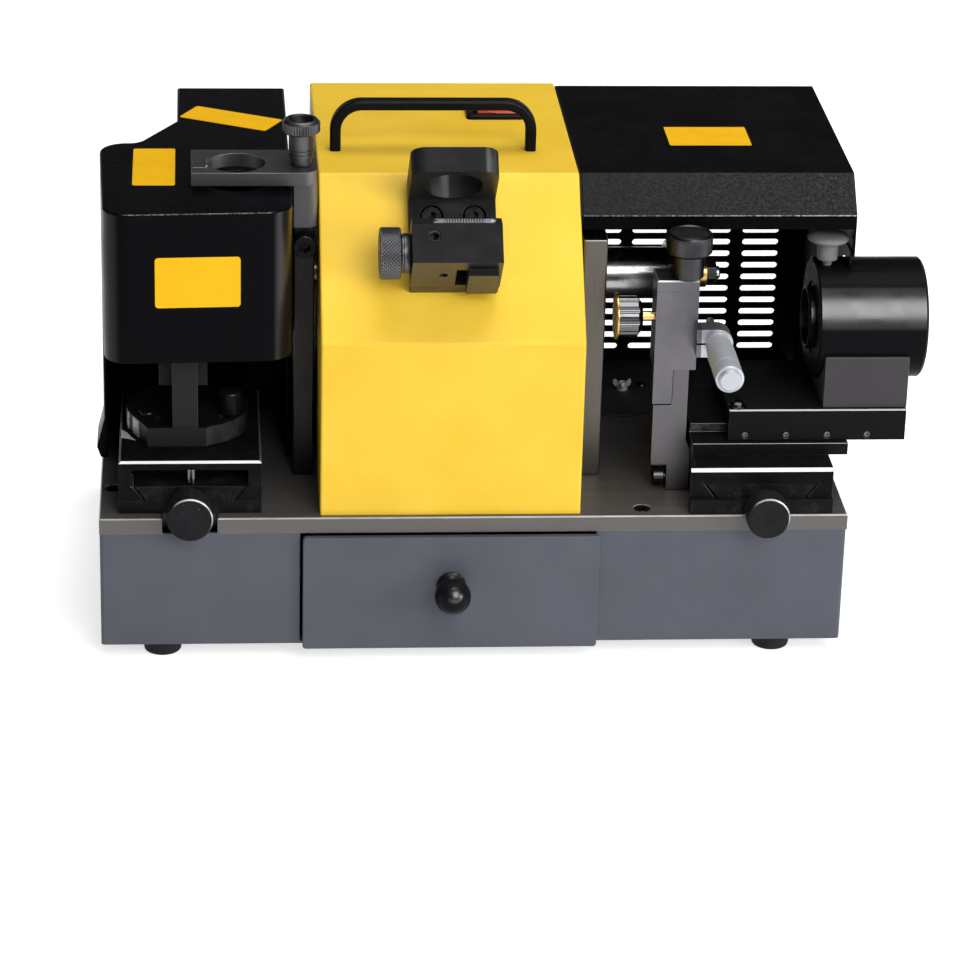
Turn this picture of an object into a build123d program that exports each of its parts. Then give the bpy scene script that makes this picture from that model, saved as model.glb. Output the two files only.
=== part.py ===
"""Bench tool grinder with two grinding stations, a setting block and a drawer base.

Millimetres.  Places are measured from the bed datum, the middle of the bed plate's top front edge:
x to the right, y to the back, z up.  The object's own origin is on the floor under its middle.
"""
import os
from math import cos, hypot, radians, sin

from build123d import *

os.makedirs("parts", exist_ok=True)

# Bed and base
BED_WIDTH = 450.0
BED_DEPTH = 265.0
BED_THICKNESS = 10.0
PAN_HEIGHT = 73.6
PAN_INSET = (0.2, 1.0)
FOOT_HEIGHT = 12.0
FOOT_RADIUS = 12.3
FOOT_X = (-188.0, 185.3)
FOOT_INSET = 21.0
SHEET = 2.0
PLAY = 0.4
RUNNING_FIT = 0.05
KNOB_NOTCH_X = (-187.5, -154.5)
KNOB_NOTCH_DEPTH = 10.0
BED_SCREWS = [(101.2, 11.5), (-217.0, 46.0), (-217.0, 256.0), (217.0, 256.0)]

# Bed datum in the object's frame
BED_X = -22.5
BED_Y = -114.0
BED_Z = FOOT_HEIGHT + PAN_HEIGHT + BED_THICKNESS
PAN_BOTTOM = -BED_THICKNESS - PAN_HEIGHT

# Drawer
DRAWER_X = (-103.6, 74.9)
DRAWER_GAP = 1.6
DRAWER_FRONT_Y = (-4.0, 0.4)
DRAWER_FRONT_Z = (-85.3, -11.7)
TRAY_X = (-97.0, 68.0)
TRAY_Y = (0.4, 175.0)
TRAY_Z = (-78.0, -22.0)
TRAY_SHEET = 1.5
DRAWER_KNOB = (-14.3, -43.0)
DRAWER_BALL_RADIUS = 10.9
DRAWER_BALL_REACH = 16.5

# Motor housing, a folded shell with a sloping front
HOUSING_X = (-93.4, 63.1)
HOUSING_FRONT = 3.8
HOUSING_KNEE = 109.6
HOUSING_TOP = 189.7
HOUSING_RIDGE = 79.7
HOUSING_BACK = 258.0

# Spindle, its bearing plates and the motor
SPINDLE_Y = 110.0
SPINDLE_Z = 114.6
SPINDLE_RADIUS = 6.0
SPINDLE_END_RADIUS = 4.0
SPINDLE_X = (-164.0, 155.4)
ROTOR_SHAFT_RADIUS = 10.0
ROTOR_X = (-60.0, 30.0)
ROTOR_RADIUS = 33.0
CASING_X = (-75.0, 45.0)
CASING_RADIUS = 58.0
CASING_END_WALL = 6.0
LEFT_PLATE_X = (-108.5, -95.7)
RIGHT_PLATE_X = (65.4, 80.1)
LEFT_PLATE_FRONT = 64.0
RIGHT_PLATE_FRONT = 61.5
PLATE_BACK = 160.0
LEFT_PLATE_TOP = 163.0
RIGHT_PLATE_TOP = 153.7
CLAMP_SCREW = (-101.8, 151.0)
CLAMP_SCREW_RADIUS = 4.0
BEARING_RADIUS = 16.0
BEARING_WIDTH = 10.0
ARBOR_RADIUS = 16.0
ARBOR_FLANGE_RADIUS = 20.0
ARBOR_FLANGE = 4.0
GRUB_SCREW_X = (92.7, -119.0)
GRUB_SCREW_RADIUS = 3.2
GRUB_SCREW_TILT = 33.0
WHEEL_RADIUS = 36.0
RIGHT_WHEEL_X = (125.0, 138.5)
LEFT_WHEEL_X = (-152.0, -134.0)
WASHER_RADIUS = 9.0
RIGHT_WASHER = 8.0
LEFT_WASHER = 3.0
NUT_ACROSS_CORNERS = 14.5
NUT_LENGTH = 6.3
NUT_TURN = 15.0

# Right hood and its slotted back panel
HOOD_X = (64.3, 229.6)
HOOD_SHEET = 1.6
HOOD_FRONT = 60.0
HOOD_RIDGE = 80.5
HOOD_BACK = 250.0
HOOD_LIP_Z = 169.5
HOOD_FLANGE_Z = 160.6
HOOD_SIDE_Z = 142.6
HOOD_SIDE_STEP = 114.0
HOOD_ARCH_RADIUS = 41.0
SLOT_PITCH = 8.08
SLOT_HEIGHT = 4.3
SLOT_FIRST_Z = 11.0
SLOT_COLUMNS = [(86.2, 109.9), (117.1, 181.5), (189.4, 213.1)]
SLOT_ROWS = (19, 18, 18)

# Left guard
GUARD_LEFT_FRONT = (-220.5, 12.2)
GUARD_RIGHT_FRONT = (-109.9, 17.6)
GUARD_TOP = 187.3
GUARD_BOTTOM = 94.0
GUARD_LEFT_BACK = (-224.8, 143.2)
GUARD_SHOULDER = (-201.3, 143.2)
GUARD_NARROW = (-177.7, 186.0)
GUARD_BACK = 252.0
GUARD_CORNER = 16.0
GUARD_SHOULDER_BEND = 10.0
GUARD_NARROW_BEND = 4.0
GUARD_SKIRT_FRONT = 93.0
GUARD_LUG_X = -223.0
REAR_PANEL_Y = 166.0

# Handle, switch and inlet on the housing
HANDLE_X = (-81.8, 37.0)
HANDLE_Y = 123.5
HANDLE_HEIGHT = 32.1
HANDLE_BAR = (6.5, 9.0)
HANDLE_BEND = 16.0
SWITCH_X = (2.0, 38.0)
SWITCH_Y = (180.2, 212.2)
SWITCH_RIM = 3.0
ROCKER_TILT = 8.0
INLET_X = -15.0
INLET_Z = 45.0

# Chuck seats: the three seats take the same round chuck
CHUCK_BORE = 34.0

# Setting block, measured on the sloping front: x, distance up the slope, height off it
SETTING_X = (-40.5, 11.4)
SETTING_UP = (33.0, 105.5)
SETTING_BASE = 8.0
SETTING_TAB_UP = 89.5
SETTING_TAB_HEIGHT = 47.7
SETTING_BORE_HEIGHT = 27.0
SETTING_SCREWS = [(-27.0, 78.9), (-1.6, 78.9)]
SETTING_HEAD_RADIUS = 6.0
STOP_X = (-41.0, 12.0)
STOP_UP = (33.0, 64.1)
STOP_HEIGHT = 45.0
STOP_CHAMFER = 6.6
STOP_SCREW = (-28.0, 50.2)
STOP_SCREW_RADIUS = 3.8
STOP_FRONT_HOLE = (-22.0, 26.3)
JAW_X = (-8.3, 9.6)
JAW_UP = (27.6, 32.6)
JAW_HEIGHT = (11.0, 38.0)
JAW_TENON_X = (-8.3, 8.0)
JAW_TENON_HEIGHT = (12.0, 33.5)
JAW_TENON_UP = 53.0
JAW_TRAVEL = 6.0
JAW_SCREW = (46.5, 27.5)

# Left station: slide, swivel table and rest post
LEFT_SLIDE_X = (-213.0, -128.0)
LEFT_SLIDE_Y = (8.0, 122.0)
LEFT_SLIDE_TOP = 33.6
LEFT_BASE_BACK = 138.0
LEFT_BASE_HEIGHT = 8.4
LEFT_KNOB = (-170.8, 5.5)
LEFT_KNOB_RADIUS = 13.8
LEFT_KNOB_Y = (-15.0, 3.0)
DOVETAIL_HEIGHT = 9.0
DOVETAIL_FOOT = 26.0
DOVETAIL_HEAD = 33.0
DOVETAIL_GAP = 2.0
SWIVEL = (-172.0, 67.0)
SWIVEL_RADIUS = 37.0
SWIVEL_THICKNESS = 12.0
SWIVEL_FRONT = 30.0
SWIVEL_SLOT_RADIUS = 29.0
SWIVEL_SCREW_ANGLES = (214.7, -26.0)
POST_X = (-181.1, -165.7)
POST_Y = (30.0, 46.0)
POST_TOP = 140.0
REST_X = (-189.0, -160.0)
REST_Z = (67.0, 108.0)
REST_LUG_X = (-196.0, -189.0)
REST_LUG_Z = (84.0, 90.0)
REST_FINGER_X = (-178.0, -168.0)
REST_TIP_X = (-178.0, -151.0)
REST_TIP_Z = (134.0, 140.0)

# Chuck seat arm above the left wheel
ARM_X = (-169.0, -94.5)
ARM_Y = (54.0, 97.0)
ARM_Z = (190.4, 198.5)
ARM_BORE = (-142.0, 73.0)
ARM_KNOB = (-104.0, 70.0)
ARM_KNOB_RADIUS = 11.3
ARM_KNOB_TOP = 227.0
ARM_PIN = (-101.0, 85.0)
ARM_PIN_RADIUS = 3.0
BRACKET_X = (-108.5, -94.2)
BRACKET_Y = (58.0, 92.0)
BRACKET_TOP = 190.0

# Right station: slide, cross carriage and tool sleeve
RIGHT_SLIDE_X = (129.0, 215.6)
RIGHT_SLIDE_Y = (5.0, 118.0)
RIGHT_SLIDE_TOP = 28.0
RIGHT_BASE_X = (133.2, 215.6)
RIGHT_SADDLE_RIM = 3.0
RIGHT_BASE_FRONT = 1.7
RIGHT_BASE_BACK = 135.0
RIGHT_BASE_HEIGHT = 9.0
RIGHT_KNOB = (174.3, 4.8)
RIGHT_KNOB_RADIUS = 13.1
RIGHT_KNOB_Y = (-17.0, -1.0)
LEAD_SCREW_RADIUS = 3.0
GUIDE_X = (131.9, 227.0)
GUIDE_Y = (26.0, 114.0)
GUIDE_TOP = 35.7
CARRIAGE_X = (154.0, 262.0)
CARRIAGE_Y = (30.0, 110.0)
CARRIAGE_TOP = 56.0
CROSS_FOOT = 25.0
CROSS_HEAD = 30.0
CROSS_HEIGHT = 7.4
GIB_SCREW_X = (164.4, 189.4, 214.5, 238.9)
GIB_SCREW_Z = 39.5
GIB_SCREW_RADIUS = 2.3
SLEEVE_X = (207.0, 273.0)
SLEEVE_Y = 70.0
SLEEVE_Z = 100.8
SLEEVE_RADIUS = 36.6
SLEEVE_FLAT = 34.2
SLEEVE_FLAT_LENGTH = 20.0
PEDESTAL_X = (211.3, 262.4)
PEDESTAL_Y = (33.0, 107.0)
PEDESTAL_TOP = 88.4
SOCKET_X = (203.0, 270.0)
SOCKET_RADIUS = 22.0
SOCKET_NOSE_RADIUS = 19.5
CLAMP_KNOB_X = 214.5
CLAMP_KNOB_RADIUS = 12.8
CLAMP_KNOB_Z = (150.0, 154.7)
CLAMP_HUB_Z = 138.5

# Dust tray on the bed: two round lobes that join at the back
TRAY_LOBES = [(104.0, 180.0, 27.0), (171.0, 187.0, 30.0)]
TRAY_LOBE_BACK = 236.0
TRAY_BACK_X = (87.0, 225.0)
TRAY_BACK_Y = (234.0, 246.0)
TRAY_THICKNESS = 1.5

# Gauge stand with its micrometer
STAND_X = (108.6, 129.4)
STAND_FOOT_X = (118.4, 132.4)
STAND_FOOT_Z = 16.7
STAND_FLARE_Z = (26.5, 33.8)
STAND_Y = (38.0, 58.0)
STAND_TOP = 79.4
STAND_LIFT = 0.5
HEAD_X = (107.7, 133.0)
HEAD_Y = (36.0, 58.0)
HEAD_Z = (79.8, 137.0)
HEAD_GROOVE_Z = (129.4, 130.8)
TONGUE_X = (107.7, 119.3)
TONGUE_BOTTOM = 57.7
TONGUE_BACK = 44.0
RAIL_X = (110.8, 122.6)
RAIL_Y = (46.5, 54.5)
RAIL_TOP = 128.0
HEIGHT_SCREW = (126.8, 43.4)
HEIGHT_SCREW_RADIUS = 2.0
HEIGHT_KNOB_RADIUS = 13.8
HEIGHT_STEM_RADIUS = 9.2
HEIGHT_KNOB_Z = (151.5, 165.5)
LOCK_Y = 44.0
LOCK_Z = 111.6
LOCK_RING_RADIUS = 14.4
LOCK_KNOB_RADIUS = 12.3
LOCK_KNOB_X = (85.3, 99.9)
LOCK_RING_X = (83.7, 85.3)
MICROMETER = (143.6, 102.0)
MICROMETER_BOSS_RADIUS = 9.2
MICROMETER_BOSS_Y = (22.0, 35.0)
MICROMETER_ARM_X = (131.0, 143.6)
MICROMETER_ARM_Y = (22.0, 48.0)
MICROMETER_ARM_Z = (93.5, 111.0)
MICROMETER_SLIT = 1.2
BARREL_RADIUS = 7.6
BARREL_FRONT = 3.0
THIMBLE_RADIUS = 8.4
THIMBLE_Y = (-34.0, 10.0)
THIMBLE_CAP_Y = -37.0
MICROMETER_SPINDLE_RADIUS = 2.5
MICROMETER_SPINDLE_Y = (-30.0, 60.0)

# Frames: the bed datum and the housing's slope, on which y runs up the slope and z stands off it
BED = Plane(origin=(BED_X, BED_Y, BED_Z))
SLOPE_RISE = HOUSING_TOP - HOUSING_KNEE
SLOPE_RUN = HOUSING_RIDGE - HOUSING_FRONT
SLOPE_LENGTH = hypot(SLOPE_RISE, SLOPE_RUN)
SLOPE = Plane(
    origin=(BED_X, BED_Y + HOUSING_FRONT, BED_Z + HOUSING_KNEE),
    x_dir=(1, 0, 0),
    z_dir=(0, -SLOPE_RISE / SLOPE_LENGTH, SLOPE_RUN / SLOPE_LENGTH),
)
DIRECTIONS = {
    "X": (1, 0, 0),
    "-X": (-1, 0, 0),
    "Y": (0, 1, 0),
    "-Y": (0, -1, 0),
    "Z": (0, 0, 1),
    "-Z": (0, 0, -1),
}


def point(x, y, z, frame=BED):
    """Place of a point given in a frame."""
    return frame.from_local_coords(Vector(x, y, z))


def top_plane(z, frame=BED):
    """Level plane: its sketch is drawn in x and y."""
    return frame.offset(z)


def side_plane(x):
    """Upright plane across the bed: its sketch is drawn in y and z, and grows towards +x."""
    return Plane(origin=point(x, 0, 0), x_dir=(0, 1, 0), z_dir=(1, 0, 0))


def front_plane(y):
    """Upright plane along the bed: its sketch is drawn in x and z, and a minus length runs back."""
    return Plane(origin=point(0, y, 0), x_dir=(1, 0, 0), z_dir=(0, -1, 0))


def block(x, y, z, mode=Mode.ADD, frame=BED):
    """Box between two x, two y and two z."""
    middle = ((x[0] + x[1]) / 2, (y[0] + y[1]) / 2, (z[0] + z[1]) / 2)
    with Locations(frame.location * Location(middle)):
        Box(x[1] - x[0], y[1] - y[0], z[1] - z[0], mode=mode)


def rod(direction, start, length, radius, mode=Mode.ADD, frame=BED):
    """Cylinder from a start point along one of the frame's directions."""
    along = frame.from_local_coords(Vector(*DIRECTIONS[direction])) - frame.origin
    with Locations(Plane(origin=point(*start, frame=frame), z_dir=along)):
        Cylinder(radius, length, align=(Align.CENTER, Align.CENTER, Align.MIN), mode=mode)


def turned(direction, start, profile, mode=Mode.ADD, frame=BED):
    """Solid of revolution: the profile is a list of (distance along the axis, radius)."""
    along = frame.from_local_coords(Vector(*DIRECTIONS[direction])) - frame.origin
    across = Vector(1, 0, 0) if abs(along.X) < 0.5 else Vector(0, 0, 1)
    origin = point(*start, frame=frame)
    with BuildSketch(Plane(origin=origin, x_dir=across, z_dir=across.cross(along))) as section:
        outline([(radius, distance) for distance, radius in profile])
    revolve(section.sketch, axis=Axis(origin, along), mode=mode)


def outline(points):
    """Face inside straight lines between points."""
    Polygon(*points, align=None)


def cap_screw(direction, start, shank_radius, shank_length, head_radius, frame=BED):
    """Socket-head screw: its head stands from the start point against the shank's direction."""
    head_length = 2 * shank_radius
    turned(direction, start, [
        (-head_length, 0),
        (-head_length, head_radius - 0.5),
        (-head_length + 0.5, head_radius),
        (0, head_radius),
        (0, shank_radius),
        (shank_length, shank_radius),
        (shank_length, 0),
    ], frame=frame)
    along = frame.from_local_coords(Vector(*DIRECTIONS[direction])) - frame.origin
    head = point(*start, frame=frame) - along * head_length
    with BuildSketch(Plane(origin=head, z_dir=along)) as socket:
        RegularPolygon(shank_radius * 0.95, 6)
    extrude(socket.sketch, amount=head_length * 0.55, mode=Mode.SUBTRACT)


def round_corner(sketch, corner, radius):
    """Round the sketch's corner nearest to a point."""
    fillet(sketch.vertices().sort_by_distance(corner)[0], radius)


def dovetail(middle, foot, head, bottom, top):
    """Dovetail section, wider at the top."""
    outline([
        (middle - foot, bottom),
        (middle + foot, bottom),
        (middle + head, top),
        (middle - head, top),
    ])


def save(part, node):
    """Name a finished piece and write it."""
    part.label = node
    export_step(part, f"parts/{node}.step")


# Base pan: a folded tray under the bed, open in front for the drawer
pan_x = (-BED_WIDTH / 2 + PAN_INSET[0], BED_WIDTH / 2 - PAN_INSET[0])
pan_y = (PAN_INSET[1], BED_DEPTH - PAN_INSET[1])
with BuildPart() as base_pan:
    block(pan_x, pan_y, (PAN_BOTTOM, -BED_THICKNESS))
    fillet(base_pan.edges().filter_by(Axis.Z), 2.5)
    block(
        (pan_x[0] + SHEET, pan_x[1] - SHEET),
        (pan_y[0] + SHEET, pan_y[1] - SHEET),
        (PAN_BOTTOM + SHEET, -BED_THICKNESS),
        Mode.SUBTRACT,
    )
    block(
        (DRAWER_X[0] - DRAWER_GAP, DRAWER_X[1] - 2),
        (0, pan_y[0] + 2 * SHEET),
        (PAN_BOTTOM + SHEET, -BED_THICKNESS),
        Mode.SUBTRACT,
    )
    for x, y in BED_SCREWS:
        boss_x = (max(x - 10, pan_x[0] + 1), min(x + 10, pan_x[1] - 1))
        boss_y = (max(y - 11, pan_y[0] + 1), min(y + 11, pan_y[1] - 1))
        block(boss_x, boss_y, (-BED_THICKNESS - 14, -BED_THICKNESS))
        rod("Z", (x, y, -BED_THICKNESS - 12), 12, 3, Mode.SUBTRACT)
save(base_pan.part, "base_pan")

# Bed plate: ground steel with a notch for the left feed knob
with BuildPart() as bed_plate:
    block((-BED_WIDTH / 2, BED_WIDTH / 2), (0, BED_DEPTH), (-BED_THICKNESS, 0))
    chamfer(bed_plate.edges().group_by(Axis.Z)[-1], 0.8)
    block(KNOB_NOTCH_X, (-1, KNOB_NOTCH_DEPTH), (-BED_THICKNESS, 0), Mode.SUBTRACT)
    for x, y in BED_SCREWS:
        rod("Z", (x, y, -BED_THICKNESS), BED_THICKNESS, 3.3, Mode.SUBTRACT)
        rod("Z", (x, y, -6.2), 6.2, 5.5, Mode.SUBTRACT)
    rod("Z", (INLET_X, 225, -BED_THICKNESS), BED_THICKNESS, 10, Mode.SUBTRACT)
save(bed_plate.part, "bed_plate")

# Rubber feet
with BuildPart() as rubber_feet:
    for x in FOOT_X:
        for y in (FOOT_INSET, BED_DEPTH - FOOT_INSET):
            turned("Z", (x, y, PAN_BOTTOM - FOOT_HEIGHT), [
                (0, 3.5),
                (0, FOOT_RADIUS - 1.8),
                (1, FOOT_RADIUS - 1),
                (FOOT_HEIGHT, FOOT_RADIUS),
                (FOOT_HEIGHT, 0),
                (FOOT_HEIGHT - 4, 0),
                (FOOT_HEIGHT - 4, 3.5),
            ])
save(rubber_feet.part, "rubber_feet")

# Drawer: front panel, sheet tray, ball knob and the two runners in the pan
with BuildPart() as drawer_front:
    block(DRAWER_X, DRAWER_FRONT_Y, DRAWER_FRONT_Z)
    fillet(drawer_front.edges().filter_by(Axis.Y), 2)
    fillet(drawer_front.faces().sort_by(Axis.Y)[0].edges(), 0.8)
    rod("Y", (DRAWER_KNOB[0], DRAWER_FRONT_Y[0], DRAWER_KNOB[1]), 10, 2.5, Mode.SUBTRACT)
save(drawer_front.part, "drawer_front")

with BuildPart() as drawer_tray:
    tray_wall_z = (TRAY_Z[0] + TRAY_SHEET + RUNNING_FIT, TRAY_Z[1])
    tray_side_y = (TRAY_Y[0] + TRAY_SHEET + RUNNING_FIT, TRAY_Y[1] - TRAY_SHEET - RUNNING_FIT)
    block(TRAY_X, TRAY_Y, (TRAY_Z[0], TRAY_Z[0] + TRAY_SHEET))
    block(TRAY_X, (TRAY_Y[0], TRAY_Y[0] + TRAY_SHEET), tray_wall_z)
    block(TRAY_X, (TRAY_Y[1] - TRAY_SHEET, TRAY_Y[1]), tray_wall_z)
    block((TRAY_X[0], TRAY_X[0] + TRAY_SHEET), tray_side_y, tray_wall_z)
    block((TRAY_X[1] - TRAY_SHEET, TRAY_X[1]), tray_side_y, tray_wall_z)
    rod("Y", (DRAWER_KNOB[0], TRAY_Y[0], DRAWER_KNOB[1]), TRAY_SHEET, 2.5, Mode.SUBTRACT)
save(drawer_tray.part, "drawer_tray")

knob_foot = (DRAWER_KNOB[0], DRAWER_FRONT_Y[0], DRAWER_KNOB[1])
with BuildPart() as drawer_knob:
    turned("-Y", knob_foot, [(0, 0), (0, 8.6), (1.6, 9), (3, 7.4), (6, 5), (9, 5), (9, 0)])
    with Locations(point(DRAWER_KNOB[0], DRAWER_FRONT_Y[0] - DRAWER_BALL_REACH, DRAWER_KNOB[1])):
        Sphere(DRAWER_BALL_RADIUS)
    rod("Y", knob_foot, DRAWER_FRONT_Y[1] - DRAWER_FRONT_Y[0] + TRAY_SHEET + 5, 2.4)
save(drawer_knob.part, "drawer_knob")

with BuildPart() as drawer_runners:
    floor = PAN_BOTTOM + SHEET
    ledge = (floor, TRAY_Z[0] - PLAY)
    run = (pan_y[0] + SHEET + 1, TRAY_Y[1] + 15)
    for edge, side in ((TRAY_X[0], -1), (TRAY_X[1], 1)):
        wall = sorted((edge + side * PLAY, edge + side * (PLAY + SHEET)))
        foot = sorted((edge + side * PLAY, edge - side * 9))
        block(wall, run, (floor, floor + 30))
        block(foot, run, ledge)
save(drawer_runners.part, "drawer_runners")


# Motor housing: folded shell, open below
def housing_profile(bottom):
    return [
        (HOUSING_FRONT, bottom),
        (HOUSING_FRONT, HOUSING_KNEE),
        (HOUSING_RIDGE, HOUSING_TOP),
        (HOUSING_BACK, HOUSING_TOP),
        (HOUSING_BACK, bottom),
    ]


with BuildPart() as motor_housing:
    with BuildSketch(side_plane(HOUSING_X[0])):
        outline(housing_profile(0))
    extrude(amount=HOUSING_X[1] - HOUSING_X[0])
    bends = motor_housing.edges().filter_by(Axis.X).group_by(Axis.Z)[1:]
    fillet([edge for group in bends for edge in group], 4)
    corners = motor_housing.edges().filter_by(Axis.Z)
    fillet(corners, 1.5)
    with BuildSketch(side_plane(HOUSING_X[0] + SHEET)):
        outline(housing_profile(-SHEET))
        offset(amount=-SHEET, mode=Mode.REPLACE)
    extrude(amount=HOUSING_X[1] - HOUSING_X[0] - 2 * SHEET, mode=Mode.SUBTRACT)
    rod("X", (HOUSING_X[0] - 1, SPINDLE_Y, SPINDLE_Z), 160, 20, Mode.SUBTRACT)
    for x in HANDLE_X:
        rod("Z", (x, HANDLE_Y, HOUSING_TOP - 5), 10, 2.7, Mode.SUBTRACT)
    for x, up in SETTING_SCREWS:
        rod("Z", (x, up, -5), 10, 3.3, Mode.SUBTRACT, SLOPE)
    block(
        (SWITCH_X[0] + 3, SWITCH_X[1] - 3),
        (SWITCH_Y[0] + 3, SWITCH_Y[1] - 3),
        (HOUSING_TOP - 5, HOUSING_TOP + 1),
        Mode.SUBTRACT,
    )
    block(
        (INLET_X - 14, INLET_X + 14),
        (HOUSING_BACK - 5, HOUSING_BACK + 1),
        (INLET_Z - 10.5, INLET_Z + 10.5),
        Mode.SUBTRACT,
    )
save(motor_housing.part, "motor_housing")

# Bearing plates on both sides of the housing
with BuildPart() as left_bearing_plate:
    block(LEFT_PLATE_X, (LEFT_PLATE_FRONT, PLATE_BACK), (0, LEFT_PLATE_TOP))
    rod("X", (LEFT_PLATE_X[0], SPINDLE_Y, SPINDLE_Z), 14, BEARING_RADIUS, Mode.SUBTRACT)
    clamp_start = (CLAMP_SCREW[0], LEFT_PLATE_FRONT, CLAMP_SCREW[1])
    rod("Y", clamp_start, 18, CLAMP_SCREW_RADIUS + RUNNING_FIT, Mode.SUBTRACT)
    chamfer(left_bearing_plate.faces().sort_by(Axis.Y)[0].edges().filter_by(Axis.Z), 0.8)
save(left_bearing_plate.part, "left_bearing_plate")

with BuildPart() as right_bearing_plate:
    block(RIGHT_PLATE_X, (RIGHT_PLATE_FRONT, PLATE_BACK), (0, RIGHT_PLATE_TOP))
    rod("X", (RIGHT_PLATE_X[0], SPINDLE_Y, SPINDLE_Z), 16, BEARING_RADIUS, Mode.SUBTRACT)
    chamfer(right_bearing_plate.faces().sort_by(Axis.Y)[0].edges(), 0.8)
save(right_bearing_plate.part, "right_bearing_plate")

with BuildPart() as spindle_bearings:
    for plate in (LEFT_PLATE_X, RIGHT_PLATE_X):
        start = ((plate[0] + plate[1] - BEARING_WIDTH) / 2, SPINDLE_Y, SPINDLE_Z)
        turned("X", start, [
            (0, SPINDLE_RADIUS + RUNNING_FIT),
            (0, BEARING_RADIUS),
            (BEARING_WIDTH, BEARING_RADIUS),
            (BEARING_WIDTH, SPINDLE_RADIUS + RUNNING_FIT),
        ])
save(spindle_bearings.part, "spindle_bearings")

# Motor: casing with a cast foot, and the rotor on the spindle
spindle_start = (0, SPINDLE_Y, SPINDLE_Z)
with BuildPart() as motor_casing:
    block(ROTOR_X, (SPINDLE_Y - 45, SPINDLE_Y + 45), (0, SPINDLE_Z))
    inner = (CASING_X[0] + CASING_END_WALL, CASING_X[1] - CASING_END_WALL)
    turned("X", spindle_start, [
        (CASING_X[0], 0),
        (CASING_X[0], CASING_RADIUS - 8),
        (CASING_X[0] + 8, CASING_RADIUS),
        (CASING_X[1] - 8, CASING_RADIUS),
        (CASING_X[1], CASING_RADIUS - 8),
        (CASING_X[1], 0),
    ])
    rod("X", (CASING_X[0], SPINDLE_Y, SPINDLE_Z), 120, ROTOR_SHAFT_RADIUS + 0.5, Mode.SUBTRACT)
    rod("X", (inner[0], SPINDLE_Y, SPINDLE_Z), inner[1] - inner[0], ROTOR_RADIUS + 1, Mode.SUBTRACT)
save(motor_casing.part, "motor_casing")

with BuildPart() as motor_rotor:
    turned("X", spindle_start, [
        (ROTOR_X[0], ROTOR_SHAFT_RADIUS),
        (ROTOR_X[0], ROTOR_RADIUS),
        (ROTOR_X[1], ROTOR_RADIUS),
        (ROTOR_X[1], ROTOR_SHAFT_RADIUS),
    ])
save(motor_rotor.part, "motor_rotor")

with BuildPart() as spindle_shaft:
    thick = (CASING_X[0] - 4, CASING_X[1] + 4)
    turned("X", spindle_start, [
        (SPINDLE_X[0], 0),
        (SPINDLE_X[0], SPINDLE_END_RADIUS - 1),
        (SPINDLE_X[0] + 1, SPINDLE_END_RADIUS),
        (LEFT_WHEEL_X[0], SPINDLE_END_RADIUS),
        (LEFT_WHEEL_X[0], SPINDLE_RADIUS),
        (thick[0], SPINDLE_RADIUS),
        (thick[0], ROTOR_SHAFT_RADIUS),
        (thick[1], ROTOR_SHAFT_RADIUS),
        (thick[1], SPINDLE_RADIUS),
        (RIGHT_WHEEL_X[1], SPINDLE_RADIUS),
        (RIGHT_WHEEL_X[1], SPINDLE_END_RADIUS),
        (SPINDLE_X[1] - 1, SPINDLE_END_RADIUS),
        (SPINDLE_X[1], SPINDLE_END_RADIUS - 1),
        (SPINDLE_X[1], 0),
    ])
save(spindle_shaft.part, "spindle_shaft")


# Grinding wheels on their arbors, held by a washer and a nut on each end of the spindle
def arbor_profile(plate_side, wheel_side, flange_side):
    return [
        (plate_side, SPINDLE_RADIUS),
        (plate_side, ARBOR_RADIUS),
        (flange_side, ARBOR_RADIUS),
        (flange_side, ARBOR_FLANGE_RADIUS),
        (wheel_side, ARBOR_FLANGE_RADIUS),
        (wheel_side, SPINDLE_RADIUS),
    ]


right_arbor = arbor_profile(RIGHT_PLATE_X[1] + 0.8, RIGHT_WHEEL_X[0], RIGHT_WHEEL_X[0] - ARBOR_FLANGE)
left_arbor = arbor_profile(LEFT_PLATE_X[0] - 0.8, LEFT_WHEEL_X[1], LEFT_WHEEL_X[1] + ARBOR_FLANGE)
grub_way = Vector(0, -sin(radians(GRUB_SCREW_TILT)), cos(radians(GRUB_SCREW_TILT)))
with BuildPart() as wheel_arbors:
    turned("X", spindle_start, right_arbor)
    turned("X", spindle_start, left_arbor)
    for x in GRUB_SCREW_X:
        hole = Plane(origin=point(x, SPINDLE_Y, SPINDLE_Z) + grub_way * ARBOR_RADIUS, z_dir=grub_way)
        with Locations(hole):
            Cylinder(GRUB_SCREW_RADIUS, 11, mode=Mode.SUBTRACT)
save(wheel_arbors.part, "wheel_arbors")


def wheel_profile(x):
    return [
        (x[0], SPINDLE_RADIUS),
        (x[0], WHEEL_RADIUS - 1.5),
        (x[0] + 1.5, WHEEL_RADIUS),
        (x[1] - 1.5, WHEEL_RADIUS),
        (x[1], WHEEL_RADIUS - 1.5),
        (x[1], SPINDLE_RADIUS),
    ]


with BuildPart() as right_wheel:
    turned("X", spindle_start, wheel_profile(RIGHT_WHEEL_X))
save(right_wheel.part, "right_wheel")

with BuildPart() as left_wheel:
    turned("X", spindle_start, wheel_profile(LEFT_WHEEL_X))
save(left_wheel.part, "left_wheel")

washer_spans = [
    (RIGHT_WHEEL_X[1], RIGHT_WHEEL_X[1] + RIGHT_WASHER),
    (LEFT_WHEEL_X[0] - LEFT_WASHER, LEFT_WHEEL_X[0]),
]
with BuildPart() as wheel_washers:
    for span in washer_spans:
        turned("X", spindle_start, [
            (span[0], SPINDLE_END_RADIUS),
            (span[0], WASHER_RADIUS),
            (span[1], WASHER_RADIUS),
            (span[1], SPINDLE_END_RADIUS),
        ])
save(wheel_washers.part, "wheel_washers")

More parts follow.
